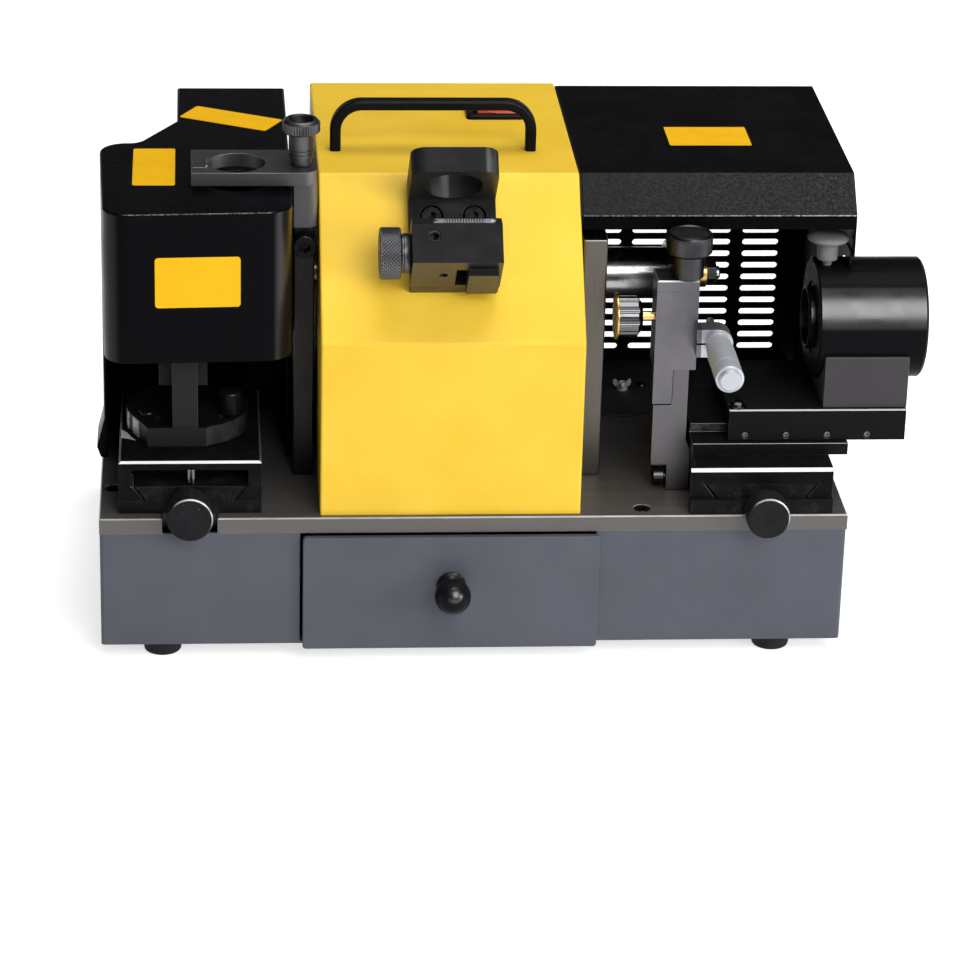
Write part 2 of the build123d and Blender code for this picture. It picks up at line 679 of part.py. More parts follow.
nut_starts = [washer_spans[0][1], washer_spans[1][0] - NUT_LENGTH]
with BuildPart() as wheel_nuts:
    for start in nut_starts:
        nut_plane = Plane(origin=point(start, SPINDLE_Y, SPINDLE_Z), x_dir=(0, 1, 0), z_dir=(1, 0, 0))
        with BuildSketch(nut_plane):
            RegularPolygon(NUT_ACROSS_CORNERS / 2, 6, rotation=NUT_TURN)
            Circle(SPINDLE_END_RADIUS, mode=Mode.SUBTRACT)
        extrude(amount=NUT_LENGTH)
save(wheel_nuts.part, "wheel_nuts")


# Right hood: folded top, slanted lip and flange, and a side panel that arches over the tool sleeve
def hood_profile(back, bottom):
    return [
        (HOOD_FRONT, bottom),
        (HOOD_FRONT, HOOD_LIP_Z),
        (HOOD_RIDGE, HOUSING_TOP),
        (back, HOUSING_TOP),
        (back, bottom),
    ]


with BuildPart() as right_hood:
    with BuildSketch(side_plane(HOOD_X[0])):
        outline(hood_profile(HOOD_BACK, HOOD_FLANGE_Z))
    extrude(amount=HOOD_X[1] - HOOD_X[0])
    with BuildSketch(side_plane(HOOD_X[1] - HOOD_SHEET)):
        outline([
            (HOOD_BACK, 0),
            (HOOD_BACK, HOOD_FLANGE_Z + 1),
            (HOOD_FRONT, HOOD_FLANGE_Z + 1),
            (HOOD_FRONT, HOOD_SIDE_Z),
            (SLEEVE_Y, HOOD_SIDE_Z),
            (SLEEVE_Y, SLEEVE_Z),
            (HOOD_SIDE_STEP, SLEEVE_Z),
            (HOOD_SIDE_STEP, 0),
        ])
        with Locations((SLEEVE_Y, SLEEVE_Z)):
            Circle(HOOD_ARCH_RADIUS, mode=Mode.SUBTRACT)
    extrude(amount=HOOD_SHEET)
    cross_edges = right_hood.edges().filter_by(Axis.X)
    fillet([
        cross_edges.sort_by_distance(point(150, HOOD_RIDGE, HOUSING_TOP))[0],
        cross_edges.sort_by_distance(point(150, HOOD_FRONT, HOOD_LIP_Z))[0],
    ], 1.6)
    with BuildSketch(side_plane(HOOD_X[0])):
        outline(hood_profile(HOOD_BACK + HOOD_SHEET, HOOD_FLANGE_Z - HOOD_SHEET))
        offset(amount=-HOOD_SHEET, mode=Mode.REPLACE)
    extrude(amount=HOOD_X[1] - HOOD_X[0] - HOOD_SHEET, mode=Mode.SUBTRACT)
save(right_hood.part, "right_hood")

# Slotted back panel under the hood
panel_x = (HOOD_X[0], HOOD_X[1] - HOOD_SHEET)
with BuildPart() as vent_panel:
    block(panel_x, (HOOD_BACK - SHEET, HOOD_BACK), (0, HOUSING_TOP - HOOD_SHEET))
    for (left, right), rows in zip(SLOT_COLUMNS, SLOT_ROWS):
        rows_middle = SLOT_FIRST_Z + SLOT_PITCH * (rows - 1) / 2
        with BuildSketch(front_plane(HOOD_BACK)):
            with Locations(((left + right) / 2, rows_middle)):
                with GridLocations(1, SLOT_PITCH, 1, rows):
                    SlotOverall(right - left, SLOT_HEIGHT)
        extrude(amount=SHEET, mode=Mode.SUBTRACT)
save(vent_panel.part, "vent_panel")

# Left guard: rounded box over the left wheel, cut away below in front, narrowing to the back
with BuildPart() as left_guard:
    with BuildSketch(BED) as plan:
        outline([
            GUARD_LEFT_FRONT,
            GUARD_RIGHT_FRONT,
            (GUARD_RIGHT_FRONT[0], GUARD_BACK),
            (GUARD_NARROW[0], GUARD_BACK),
            GUARD_NARROW,
            GUARD_SHOULDER,
            GUARD_LEFT_BACK,
        ])
        round_corner(plan, GUARD_LEFT_FRONT, GUARD_CORNER)
        round_corner(plan, GUARD_RIGHT_FRONT, GUARD_CORNER)
        round_corner(plan, GUARD_LEFT_BACK, GUARD_CORNER)
        round_corner(plan, GUARD_SHOULDER, GUARD_SHOULDER_BEND)
        round_corner(plan, GUARD_NARROW, GUARD_NARROW_BEND)
    extrude(amount=GUARD_TOP)
    fillet(left_guard.faces().sort_by(Axis.Z)[-1].edges(), 1.6)
    with BuildSketch(BED):
        add(plan.sketch_local)
        offset(amount=-SHEET, mode=Mode.REPLACE)
    extrude(amount=GUARD_TOP - SHEET, mode=Mode.SUBTRACT)
    block((-230, -100), (10, GUARD_SKIRT_FRONT), (-1, GUARD_BOTTOM), Mode.SUBTRACT)
    rod("X", (GUARD_RIGHT_FRONT[0] - 5, SPINDLE_Y, SPINDLE_Z), 10, 20, Mode.SUBTRACT)
    rod("Z", (*ARM_BORE, GUARD_TOP - 5), 10, CHUCK_BORE / 2 + 2, Mode.SUBTRACT)
    with BuildSketch(front_plane(GUARD_SKIRT_FRONT)):
        outline([
            (GUARD_LUG_X, 0),
            (GUARD_LUG_X - 2.6, 0),
            (GUARD_LUG_X - 5, 7),
            (GUARD_LUG_X, 27),
        ])
    extrude(amount=-32)
save(left_guard.part, "left_guard")

with BuildPart() as left_rear_panel:
    block(
        (GUARD_NARROW[0] + SHEET, GUARD_RIGHT_FRONT[0] - SHEET),
        (REAR_PANEL_Y, REAR_PANEL_Y + SHEET),
        (0, GUARD_TOP - SHEET),
    )
save(left_rear_panel.part, "left_rear_panel")

# Carry handle: one bent bar
with BuildPart() as carry_handle:
    with BuildLine():
        FilletPolyline(
            point(HANDLE_X[0], HANDLE_Y, HOUSING_TOP),
            point(HANDLE_X[0], HANDLE_Y, HOUSING_TOP + HANDLE_HEIGHT - HANDLE_BAR[0] / 2),
            point(HANDLE_X[1], HANDLE_Y, HOUSING_TOP + HANDLE_HEIGHT - HANDLE_BAR[0] / 2),
            point(HANDLE_X[1], HANDLE_Y, HOUSING_TOP),
            radius=HANDLE_BEND,
        )
    with BuildSketch(Plane(origin=point(HANDLE_X[0], HANDLE_Y, HOUSING_TOP))):
        RectangleRounded(*HANDLE_BAR, 2)
    sweep()
    for x in HANDLE_X:
        rod("Z", (x, HANDLE_Y, HOUSING_TOP), 14, 2.1, Mode.SUBTRACT)
save(carry_handle.part, "carry_handle")

# Rocker switch: bezel with its box, and the rocker on a pivot along y
switch_middle = (SWITCH_X[0] + SWITCH_X[1]) / 2
with BuildPart() as switch_bezel:
    block(SWITCH_X, SWITCH_Y, (HOUSING_TOP, HOUSING_TOP + SWITCH_RIM))
    fillet(switch_bezel.edges().filter_by(Axis.Z), 3)
    fillet(switch_bezel.faces().sort_by(Axis.Z)[-1].edges(), 1.2)
    block(
        (SWITCH_X[0] + 3.3, SWITCH_X[1] - 3.3),
        (SWITCH_Y[0] + 3.3, SWITCH_Y[1] - 3.3),
        (HOUSING_TOP - 28, HOUSING_TOP),
    )
    block(
        (SWITCH_X[0] + 4.5, SWITCH_X[1] - 4.5),
        (SWITCH_Y[0] + 4.5, SWITCH_Y[1] - 4.5),
        (HOUSING_TOP - 26, HOUSING_TOP + SWITCH_RIM),
        Mode.SUBTRACT,
    )
save(switch_bezel.part, "switch_bezel")

rocker_pivot = point(switch_middle, SWITCH_Y[0] + 5.2, HOUSING_TOP - 6)
with BuildPart() as switch_rocker:
    rocker_plane = Plane(
        origin=rocker_pivot,
        x_dir=(cos(radians(ROCKER_TILT)), 0, -sin(radians(ROCKER_TILT))),
        z_dir=(0, -1, 0),
    )
    with BuildSketch(rocker_plane):
        outline([(-11.8, 4), (-11.8, 10.5), (0, 9), (11.8, 10.5), (11.8, 4), (4, -7), (-4, -7)])
    extrude(amount=-(SWITCH_Y[1] - SWITCH_Y[0] - 10.4))
    fillet(switch_rocker.edges().filter_by(Axis.Y).group_by(Axis.Z)[-1], 0.8)
save(switch_rocker.part, "switch_rocker")

# Mains inlet in the back of the housing, with three pins
with BuildPart() as power_inlet:
    inlet = Plane(origin=point(INLET_X, HOUSING_BACK, INLET_Z))
    block((-24, 24), (0, 3), (-12, 12), frame=inlet)
    fillet(power_inlet.edges().filter_by(Axis.Y), 5)
    block((-13.7, 13.7), (-24, 0), (-10, 10), frame=inlet)
    block((-12, 12), (-18, 3), (-8, 8), Mode.SUBTRACT, inlet)
    for x, z in ((-7, -2), (0, 2), (7, -2)):
        block((x - 1, x + 1), (-18, -2), (z - 2, z + 2), frame=inlet)
save(power_inlet.part, "power_inlet")

# Setting block on the slope: a bracket with the chuck bore, and a stop block with a sliding jaw
bore_middle = (SETTING_X[0] + SETTING_X[1]) / 2
with BuildPart() as setting_bracket:
    block(SETTING_X, SETTING_UP, (0, SETTING_BASE), frame=SLOPE)
    tab_plane = Plane(
        origin=point(0, SETTING_TAB_UP, 0, SLOPE),
        x_dir=(1, 0, 0),
        z_dir=-SLOPE.y_dir,
    )
    with BuildSketch(tab_plane) as tab:
        outline([
            (SETTING_X[0], 0),
            (SETTING_X[1], 0),
            (SETTING_X[1], SETTING_TAB_HEIGHT),
            (SETTING_X[0], SETTING_TAB_HEIGHT),
        ])
        round_corner(tab, (SETTING_X[0], SETTING_TAB_HEIGHT), 9)
        round_corner(tab, (SETTING_X[1], SETTING_TAB_HEIGHT), 9)
        with Locations((bore_middle, SETTING_BORE_HEIGHT)):
            Circle(CHUCK_BORE / 2, mode=Mode.SUBTRACT)
    extrude(amount=-(SETTING_UP[1] - SETTING_TAB_UP))
    for x, up in SETTING_SCREWS:
        rod("Z", (x, up, 0), SETTING_BASE, 3.3, Mode.SUBTRACT, SLOPE)
        rod("Z", (x, up, 2.5), SETTING_BASE, SETTING_HEAD_RADIUS + 1, Mode.SUBTRACT, SLOPE)
save(setting_bracket.part, "setting_bracket")

with BuildPart() as stop_block:
    with BuildSketch(Plane(origin=point(STOP_X[0], 0, 0, SLOPE), x_dir=SLOPE.y_dir, z_dir=(1, 0, 0))):
        outline([
            (STOP_UP[0], SETTING_BASE),
            (STOP_UP[0], STOP_HEIGHT),
            (STOP_UP[1] - STOP_CHAMFER, STOP_HEIGHT),
            (STOP_UP[1], STOP_HEIGHT - STOP_CHAMFER),
            (STOP_UP[1], SETTING_BASE),
        ])
    extrude(amount=STOP_X[1] - STOP_X[0])
    slot_x = (JAW_TENON_X[0] - JAW_TRAVEL - PLAY, JAW_TENON_X[1] + PLAY)
    slot_height = (JAW_TENON_HEIGHT[0] - PLAY, JAW_TENON_HEIGHT[1] + PLAY)
    block(slot_x, (STOP_UP[0], JAW_TENON_UP + PLAY), slot_height, Mode.SUBTRACT, SLOPE)
    rod("X", (STOP_X[0], *JAW_SCREW), 46, LEAD_SCREW_RADIUS + RUNNING_FIT, Mode.SUBTRACT, SLOPE)
    rod("Z", (*STOP_SCREW, STOP_HEIGHT - 8), 8, STOP_SCREW_RADIUS, Mode.SUBTRACT, SLOPE)
    rod("Y", (STOP_FRONT_HOLE[0], STOP_UP[0], STOP_FRONT_HOLE[1]), 8, 2.5, Mode.SUBTRACT, SLOPE)
save(stop_block.part, "stop_block")

with BuildPart() as setting_jaw:
    block(JAW_X, JAW_UP, JAW_HEIGHT, frame=SLOPE)
    block(JAW_TENON_X, (JAW_UP[1], JAW_TENON_UP), JAW_TENON_HEIGHT, frame=SLOPE)
    rod("X", (JAW_TENON_X[0], *JAW_SCREW), 20, LEAD_SCREW_RADIUS + RUNNING_FIT, Mode.SUBTRACT, SLOPE)
save(setting_jaw.part, "setting_jaw")

with BuildPart() as setting_knob:
    turned("-X", (STOP_X[0], *JAW_SCREW), [
        (PLAY, 0),
        (PLAY, 11.6),
        (6, 12),
        (6, 14.5),
        (7, 15.5),
        (17.5, 15.5),
        (18.5, 14.5),
        (18.5, 0),
    ], frame=SLOPE)
    rod("X", (STOP_X[0] - 1, *JAW_SCREW), 45, LEAD_SCREW_RADIUS, frame=SLOPE)
save(setting_knob.part, "setting_knob")

# Socket-head screws of the fixed pieces: bed, setting block and arm bracket clamp
with BuildPart() as frame_screws:
    for x, y in BED_SCREWS:
        cap_screw("-Z", (x, y, -6.2), 3, 10, 5)
    for x, up in SETTING_SCREWS:
        cap_screw("-Z", (x, up, 2.5), 3, 10, SETTING_HEAD_RADIUS, SLOPE)
    cap_screw("Y", clamp_start, CLAMP_SCREW_RADIUS, 16, 7)
save(frame_screws.part, "frame_screws")


# Dovetail slide: a base on the bed and a saddle that runs on it along y
def slide_base(x, foot_x, y, height, back, screw):
    middle = (x[0] + x[1]) / 2
    block(foot_x, (y[0], back), (0, height))
    with BuildSketch(front_plane(y[0])) as tail:
        dovetail(middle, DOVETAIL_FOOT, DOVETAIL_HEAD, height, height + DOVETAIL_HEIGHT)
    extrude(tail.sketch, amount=-(back - y[0]))
    rod("Y", (screw[0], y[0], screw[1]), 100, LEAD_SCREW_RADIUS + RUNNING_FIT, Mode.SUBTRACT)


def slide_saddle(x, y, height, top):
    middle = (x[0] + x[1]) / 2
    block(x, y, (height + PLAY, top))
    with BuildSketch(front_plane(y[0])) as groove:
        dovetail(
            middle,
            DOVETAIL_FOOT + DOVETAIL_GAP,
            DOVETAIL_HEAD + DOVETAIL_GAP,
            height,
            height + DOVETAIL_HEIGHT + PLAY,
        )
    extrude(groove.sketch, amount=-(y[1] - y[0]), mode=Mode.SUBTRACT)


def feed_knob(place, radius, y, screw_length):
    turned("-Y", (place[0], y[1], place[1]), [
        (0, 0),
        (0, radius - 2.5),
        (1.5, radius),
        (y[1] - y[0] - 1, radius),
        (y[1] - y[0], radius - 1),
        (y[1] - y[0], 0),
    ])
    rod("Y", (place[0], y[1] - 1, place[1]), screw_length, LEAD_SCREW_RADIUS)


with BuildPart() as left_slide_base:
    slide_base(LEFT_SLIDE_X, LEFT_SLIDE_X, LEFT_SLIDE_Y, LEFT_BASE_HEIGHT, LEFT_BASE_BACK, LEFT_KNOB)
save(left_slide_base.part, "left_slide_base")

pivot = (*SWIVEL, LEFT_SLIDE_TOP)
screw_places = [
    (
        SWIVEL[0] + SWIVEL_SLOT_RADIUS * cos(radians(angle)),
        SWIVEL[1] + SWIVEL_SLOT_RADIUS * sin(radians(angle)),
    )
    for angle in SWIVEL_SCREW_ANGLES
]
with BuildPart() as left_saddle:
    slide_saddle(LEFT_SLIDE_X, LEFT_SLIDE_Y, LEFT_BASE_HEIGHT, LEFT_SLIDE_TOP)
    pocket_z = (LEFT_BASE_HEIGHT + DOVETAIL_HEIGHT, LEFT_SLIDE_TOP - 5.4)
    block((-206, -136), (LEFT_SLIDE_Y[0], LEFT_SLIDE_Y[0] + 18), pocket_z, Mode.SUBTRACT)
    chamfer(left_saddle.faces().sort_by(Axis.Z)[-1].edges(), 1.3)
    rod("Z", pivot, SWIVEL_THICKNESS - 2, 6)
    for x, y in screw_places:
        rod("Z", (x, y, LEFT_SLIDE_TOP - 7), 7, 3, Mode.SUBTRACT)
save(left_saddle.part, "left_saddle")

with BuildPart() as left_feed_knob:
    feed_knob(LEFT_KNOB, LEFT_KNOB_RADIUS, LEFT_KNOB_Y, 95)
save(left_feed_knob.part, "left_feed_knob")

# Swivel table with two arc slots, its clamp screws, and the post with its tooth rest
table_z = (LEFT_SLIDE_TOP + PLAY, LEFT_SLIDE_TOP + PLAY + SWIVEL_THICKNESS)
with BuildPart() as swivel_table:
    with BuildSketch(top_plane(table_z[0])):
        with Locations(SWIVEL):
            Circle(SWIVEL_RADIUS)
        outline([(-196, SWIVEL_FRONT), (-161, SWIVEL_FRONT), (-139, 50), SWIVEL, (-208.2, 60)])
        with Locations(SWIVEL):
            Circle(6 + RUNNING_FIT, mode=Mode.SUBTRACT)
        for angle in SWIVEL_SCREW_ANGLES:
            with BuildLine(mode=Mode.PRIVATE) as slot_line:
                CenterArc(SWIVEL, SWIVEL_SLOT_RADIUS, angle - 14, 28)
            SlotArc(slot_line.edge(), 7, mode=Mode.SUBTRACT)
    extrude(amount=SWIVEL_THICKNESS)
save(swivel_table.part, "swivel_table")

with BuildPart() as swivel_screws:
    for (x, y), radius, height in zip(screw_places, (5.2, 7), (3.2, 14)):
        base = (x, y, table_z[1] + PLAY)
        rim = [(height - 0.8, radius), (height, radius - 0.8)]
        turned("Z", base, [(0, 0), (0, radius), *rim, (height, 0)])
        rod("Z", (x, y, LEFT_SLIDE_TOP - 6.5), base[2] - LEFT_SLIDE_TOP + 7, 2.9)
save(swivel_screws.part, "swivel_screws")

with BuildPart() as rest_post:
    block(POST_X, POST_Y, (table_z[1], POST_TOP))
    fillet(rest_post.edges().filter_by(Axis.Z), 0.8)
save(rest_post.part, "rest_post")

with BuildPart() as tooth_rest:
    block(REST_X, (POST_Y[1], POST_Y[1] + 6), REST_Z)
    block(REST_LUG_X, (POST_Y[1], POST_Y[1] + 6), REST_LUG_Z)
    block(REST_FINGER_X, (POST_Y[1], POST_Y[1] + 4), (REST_Z[1], REST_TIP_Z[0]))
    block(REST_TIP_X, (POST_Y[1], POST_Y[1] + 4), REST_TIP_Z)
save(tooth_rest.part, "tooth_rest")

# Chuck seat arm on its bracket, raised by a knurled knob along a guide pin
with BuildPart() as arm_bracket:
    block(BRACKET_X, BRACKET_Y, (LEFT_PLATE_TOP, BRACKET_TOP))
    front_edges = arm_bracket.edges().filter_by(Axis.Z).group_by(Axis.Y)[0]
    fillet(front_edges.sort_by(Axis.X)[-1], 6)
    rod("Z", (*ARM_KNOB, LEFT_PLATE_TOP + 2), 40, LEAD_SCREW_RADIUS + RUNNING_FIT, Mode.SUBTRACT)
    rod("Z", (*ARM_PIN, BRACKET_TOP), ARM_Z[1] - BRACKET_TOP - 0.5, ARM_PIN_RADIUS)
save(arm_bracket.part, "arm_bracket")

with BuildPart() as chuck_seat_arm:
    with BuildSketch(top_plane(ARM_Z[0])) as arm_plan:
        outline([
            (ARM_X[0], ARM_Y[0]),
            (ARM_X[1], ARM_Y[0]),
            (ARM_X[1], ARM_Y[1]),
            (ARM_X[0], ARM_Y[1]),
        ])
        round_corner(arm_plan, (ARM_X[1], ARM_Y[0]), 9)
        with Locations(ARM_BORE):
            Circle(CHUCK_BORE / 2, mode=Mode.SUBTRACT)
        with Locations((ARM_X[0] + 8, ARM_BORE[1])):
            Rectangle(22, 3, mode=Mode.SUBTRACT)
        with Locations(ARM_KNOB):
            Circle(LEAD_SCREW_RADIUS + PLAY, mode=Mode.SUBTRACT)
        with Locations(ARM_PIN):
            Circle(ARM_PIN_RADIUS + RUNNING_FIT, mode=Mode.SUBTRACT)
    extrude(amount=ARM_Z[1] - ARM_Z[0])
save(chuck_seat_arm.part, "chuck_seat_arm")

with BuildPart() as arm_height_knob:
    turned("Z", (*ARM_KNOB, 0), [
        (LEFT_PLATE_TOP + 8, 0),
        (LEFT_PLATE_TOP + 8, LEAD_SCREW_RADIUS),
        (ARM_Z[1] + PLAY, LEAD_SCREW_RADIUS),
        (ARM_Z[1] + PLAY, 6.3),
        (ARM_Z[1] + 5, 6.3),
        (ARM_Z[1] + 5, 7.4),
        (ARM_KNOB_TOP - 8.3, 7.4),
        (ARM_KNOB_TOP - 8.3, ARM_KNOB_RADIUS - 1),
        (ARM_KNOB_TOP - 7.3, ARM_KNOB_RADIUS),
        (ARM_KNOB_TOP - 2, ARM_KNOB_RADIUS),
        (ARM_KNOB_TOP, ARM_KNOB_RADIUS - 2),
        (ARM_KNOB_TOP, ARM_KNOB_RADIUS - 3.5),
        (ARM_KNOB_TOP - 4, ARM_KNOB_RADIUS - 4),
        (ARM_KNOB_TOP - 4, 0),
    ])
save(arm_height_knob.part, "arm_height_knob")

# Right station
with BuildPart() as right_slide_base:
    slide_base(RIGHT_SLIDE_X, RIGHT_BASE_X, RIGHT_SLIDE_Y, RIGHT_BASE_HEIGHT, RIGHT_BASE_BACK, RIGHT_KNOB)
    front_y = (RIGHT_BASE_FRONT, RIGHT_SLIDE_Y[0] + RIGHT_SADDLE_RIM)
    block(RIGHT_SLIDE_X, front_y, (0, RIGHT_BASE_HEIGHT))
    screw_start = (RIGHT_KNOB[0], RIGHT_BASE_FRONT, RIGHT_KNOB[1])
    rod("Y", screw_start, 10, LEAD_SCREW_RADIUS + RUNNING_FIT, Mode.SUBTRACT)
save(right_slide_base.part, "right_slide_base")

with BuildPart() as right_saddle:
    slide_saddle(RIGHT_SLIDE_X, RIGHT_SLIDE_Y, RIGHT_BASE_HEIGHT, RIGHT_SLIDE_TOP)
    chamfer(right_saddle.faces().sort_by(Axis.Z)[-1].edges().sort_by(Axis.Y)[0], 1.9)
    block(
        (RIGHT_SLIDE_X[0] - 1, STAND_FOOT_X[1] + RUNNING_FIT),
        (RIGHT_SLIDE_Y[0] + RIGHT_SADDLE_RIM, RIGHT_SLIDE_Y[1] + 1),
        (RIGHT_BASE_HEIGHT, RIGHT_SLIDE_TOP + 1),
        Mode.SUBTRACT,
    )
save(right_saddle.part, "right_saddle")

with BuildPart() as right_feed_knob:
    feed_knob(RIGHT_KNOB, RIGHT_KNOB_RADIUS, RIGHT_KNOB_Y, 95)
save(right_feed_knob.part, "right_feed_knob")

guide_middle = (GUIDE_Y[0] + GUIDE_Y[1]) / 2
with BuildPart() as cross_guide:
    block(GUIDE_X, GUIDE_Y, (RIGHT_SLIDE_TOP, GUIDE_TOP))
    with BuildSketch(side_plane(GUIDE_X[0])):
        dovetail(guide_middle, CROSS_FOOT, CROSS_HEAD, GUIDE_TOP, GUIDE_TOP + CROSS_HEIGHT)
    extrude(amount=GUIDE_X[1] - GUIDE_X[0])
save(cross_guide.part, "cross_guide")

with BuildPart() as cross_carriage:
    block(CARRIAGE_X, CARRIAGE_Y, (GUIDE_TOP + PLAY, CARRIAGE_TOP))
    chamfer(cross_carriage.faces().sort_by(Axis.Z)[-1].edges().sort_by(Axis.Y)[0], 0.8)
    with BuildSketch(side_plane(CARRIAGE_X[0])):
        dovetail(
            guide_middle,
            CROSS_FOOT + 2 * PLAY,
            CROSS_HEAD + 2 * PLAY,
            GUIDE_TOP,
            GUIDE_TOP + CROSS_HEIGHT + PLAY,
        )
    extrude(amount=CARRIAGE_X[1] - CARRIAGE_X[0], mode=Mode.SUBTRACT)
    for x in GIB_SCREW_X:
        rod("Y", (x, CARRIAGE_Y[0], GIB_SCREW_Z), 8, GIB_SCREW_RADIUS, Mode.SUBTRACT)
save(cross_carriage.part, "cross_carriage")

with BuildPart() as sleeve_pedestal:
    block(PEDESTAL_X, PEDESTAL_Y, (CARRIAGE_TOP, PEDESTAL_TOP))
    rod("X", (PEDESTAL_X[0], SLEEVE_Y, SLEEVE_Z), 60, SLEEVE_RADIUS + RUNNING_FIT, Mode.SUBTRACT)
save(sleeve_pedestal.part, "sleeve_pedestal")

with BuildPart() as tool_sleeve:
    turned("X", (0, SLEEVE_Y, SLEEVE_Z), [
        (SLEEVE_X[0], SOCKET_RADIUS + RUNNING_FIT),
        (SLEEVE_X[0], SLEEVE_RADIUS - 1),
        (SLEEVE_X[0] + 1, SLEEVE_RADIUS),
        (SLEEVE_X[1] - 1.5, SLEEVE_RADIUS),
        (SLEEVE_X[1], SLEEVE_RADIUS - 1.5),
        (SLEEVE_X[1], SOCKET_RADIUS + RUNNING_FIT),
    ])
    block(
        (SLEEVE_X[0], SLEEVE_X[0] + SLEEVE_FLAT_LENGTH),
        (SLEEVE_Y - 30, SLEEVE_Y + 30),
        (SLEEVE_Z + SLEEVE_FLAT, SLEEVE_Z + SLEEVE_RADIUS + 1),
        Mode.SUBTRACT,
    )
    rod("Z", (CLAMP_KNOB_X, SLEEVE_Y, SLEEVE_Z), 40, LEAD_SCREW_RADIUS + RUNNING_FIT, Mode.SUBTRACT)
save(tool_sleeve.part, "tool_sleeve")

with BuildPart() as chuck_socket:
    turned("X", (0, SLEEVE_Y, SLEEVE_Z), [
        (SOCKET_X[0], CHUCK_BORE / 2),
        (SOCKET_X[0], SOCKET_NOSE_RADIUS - 1),
        (SOCKET_X[0] + 1, SOCKET_NOSE_RADIUS),
        (SOCKET_X[0] + 4, SOCKET_NOSE_RADIUS),
        (SOCKET_X[0] + 4, SOCKET_NOSE_RADIUS - 1),
        (SOCKET_X[0] + 5, SOCKET_NOSE_RADIUS - 1),
        (SOCKET_X[0] + 5, SOCKET_RADIUS),
        (SOCKET_X[1], SOCKET_RADIUS),
        (SOCKET_X[1], CHUCK_BORE / 2),
    ])
save(chuck_socket.part, "chuck_socket")

with BuildPart() as sleeve_clamp_knob:
    turned("Z", (CLAMP_KNOB_X, SLEEVE_Y, 0), [
        (SLEEVE_Z + SOCKET_RADIUS + 1, 0),
        (SLEEVE_Z + SOCKET_RADIUS + 1, LEAD_SCREW_RADIUS),
        (CLAMP_HUB_Z, LEAD_SCREW_RADIUS),
        (CLAMP_HUB_Z, 6.2),
        (CLAMP_KNOB_Z[0], 6.8),
        (CLAMP_KNOB_Z[0], CLAMP_KNOB_RADIUS - 2),
        (CLAMP_KNOB_Z[0] + 1.2, CLAMP_KNOB_RADIUS - 0.4),
        (CLAMP_KNOB_Z[0] + 2.4, CLAMP_KNOB_RADIUS),
        (CLAMP_KNOB_Z[1] - 1, CLAMP_KNOB_RADIUS - 1.4),
        (CLAMP_KNOB_Z[1], CLAMP_KNOB_RADIUS - 5.5),
        (CLAMP_KNOB_Z[1], 0),
    ])
save(sleeve_clamp_knob.part, "sleeve_clamp_knob")

# Gauge stand on the right saddle's side, with a sliding head, a lock knob and a micrometer
with BuildPart() as gauge_stand:
    with BuildSketch(front_plane(STAND_Y[0])):
        outline([
            (STAND_X[0], STAND_FOOT_Z),
            (STAND_FOOT_X[0], STAND_FOOT_Z),
            (STAND_FOOT_X[0], STAND_LIFT),
            (STAND_FOOT_X[1], STAND_LIFT),
            (STAND_FOOT_X[1], STAND_FLARE_Z[0]),
            (STAND_X[1], STAND_FLARE_Z[1]),
            (STAND_X[1], STAND_TOP),
            (STAND_X[0], STAND_TOP),
        ])
    extrude(amount=-(STAND_Y[1] - STAND_Y[0]))
    block(
        (STAND_X[0], TONGUE_X[1] + PLAY),
        (STAND_Y[0], TONGUE_BACK + PLAY),
        (TONGUE_BOTTOM - 1.7, STAND_TOP),
        Mode.SUBTRACT,
    )
    block(RAIL_X, RAIL_Y, (STAND_TOP, RAIL_TOP))
    rod("Z", (*HEIGHT_SCREW, 48), 32, HEIGHT_SCREW_RADIUS + RUNNING_FIT, Mode.SUBTRACT)
save(gauge_stand.part, "gauge_stand")

with BuildPart() as gauge_head:
    block(HEAD_X, HEAD_Y, HEAD_Z)
    chamfer(gauge_head.faces().sort_by(Axis.Z)[-1].edges(), 0.8)
    block(HEAD_X, (HEAD_Y[0], HEAD_Y[0] + 0.6), HEAD_GROOVE_Z, Mode.SUBTRACT)
    block(TONGUE_X, (HEAD_Y[0], TONGUE_BACK), (TONGUE_BOTTOM, HEAD_Z[0]))
    block(
        (RAIL_X[0] - PLAY, RAIL_X[1] + PLAY),
        (RAIL_Y[0] - PLAY, RAIL_Y[1] + PLAY),
        (HEAD_Z[0], RAIL_TOP + 4),
        Mode.SUBTRACT,
    )
    rod("Z", (*HEIGHT_SCREW, HEAD_Z[0]), 60, HEIGHT_SCREW_RADIUS + PLAY, Mode.SUBTRACT)
    rod("X", (HEAD_X[0], LOCK_Y, LOCK_Z), 3, LEAD_SCREW_RADIUS + RUNNING_FIT, Mode.SUBTRACT)
    slit_z = (MICROMETER[1] - MICROMETER_SLIT / 2, MICROMETER[1] + MICROMETER_SLIT / 2)
    block(MICROMETER_ARM_X, MICROMETER_BOSS_Y, MICROMETER_ARM_Z)
    block(MICROMETER_ARM_X, MICROMETER_ARM_Y, (MICROMETER_ARM_Z[0], slit_z[0]))
    boss_start = (MICROMETER[0], MICROMETER_BOSS_Y[0], MICROMETER[1])
    boss_length = MICROMETER_BOSS_Y[1] - MICROMETER_BOSS_Y[0]
    rod("Y", boss_start, boss_length, MICROMETER_BOSS_RADIUS)
    rod("Y", boss_start, MICROMETER_ARM_Y[1] - MICROMETER_ARM_Y[0], 5, Mode.SUBTRACT)
    block(MICROMETER_ARM_X, MICROMETER_BOSS_Y, slit_z, Mode.SUBTRACT)
save(gauge_head.part, "gauge_head")

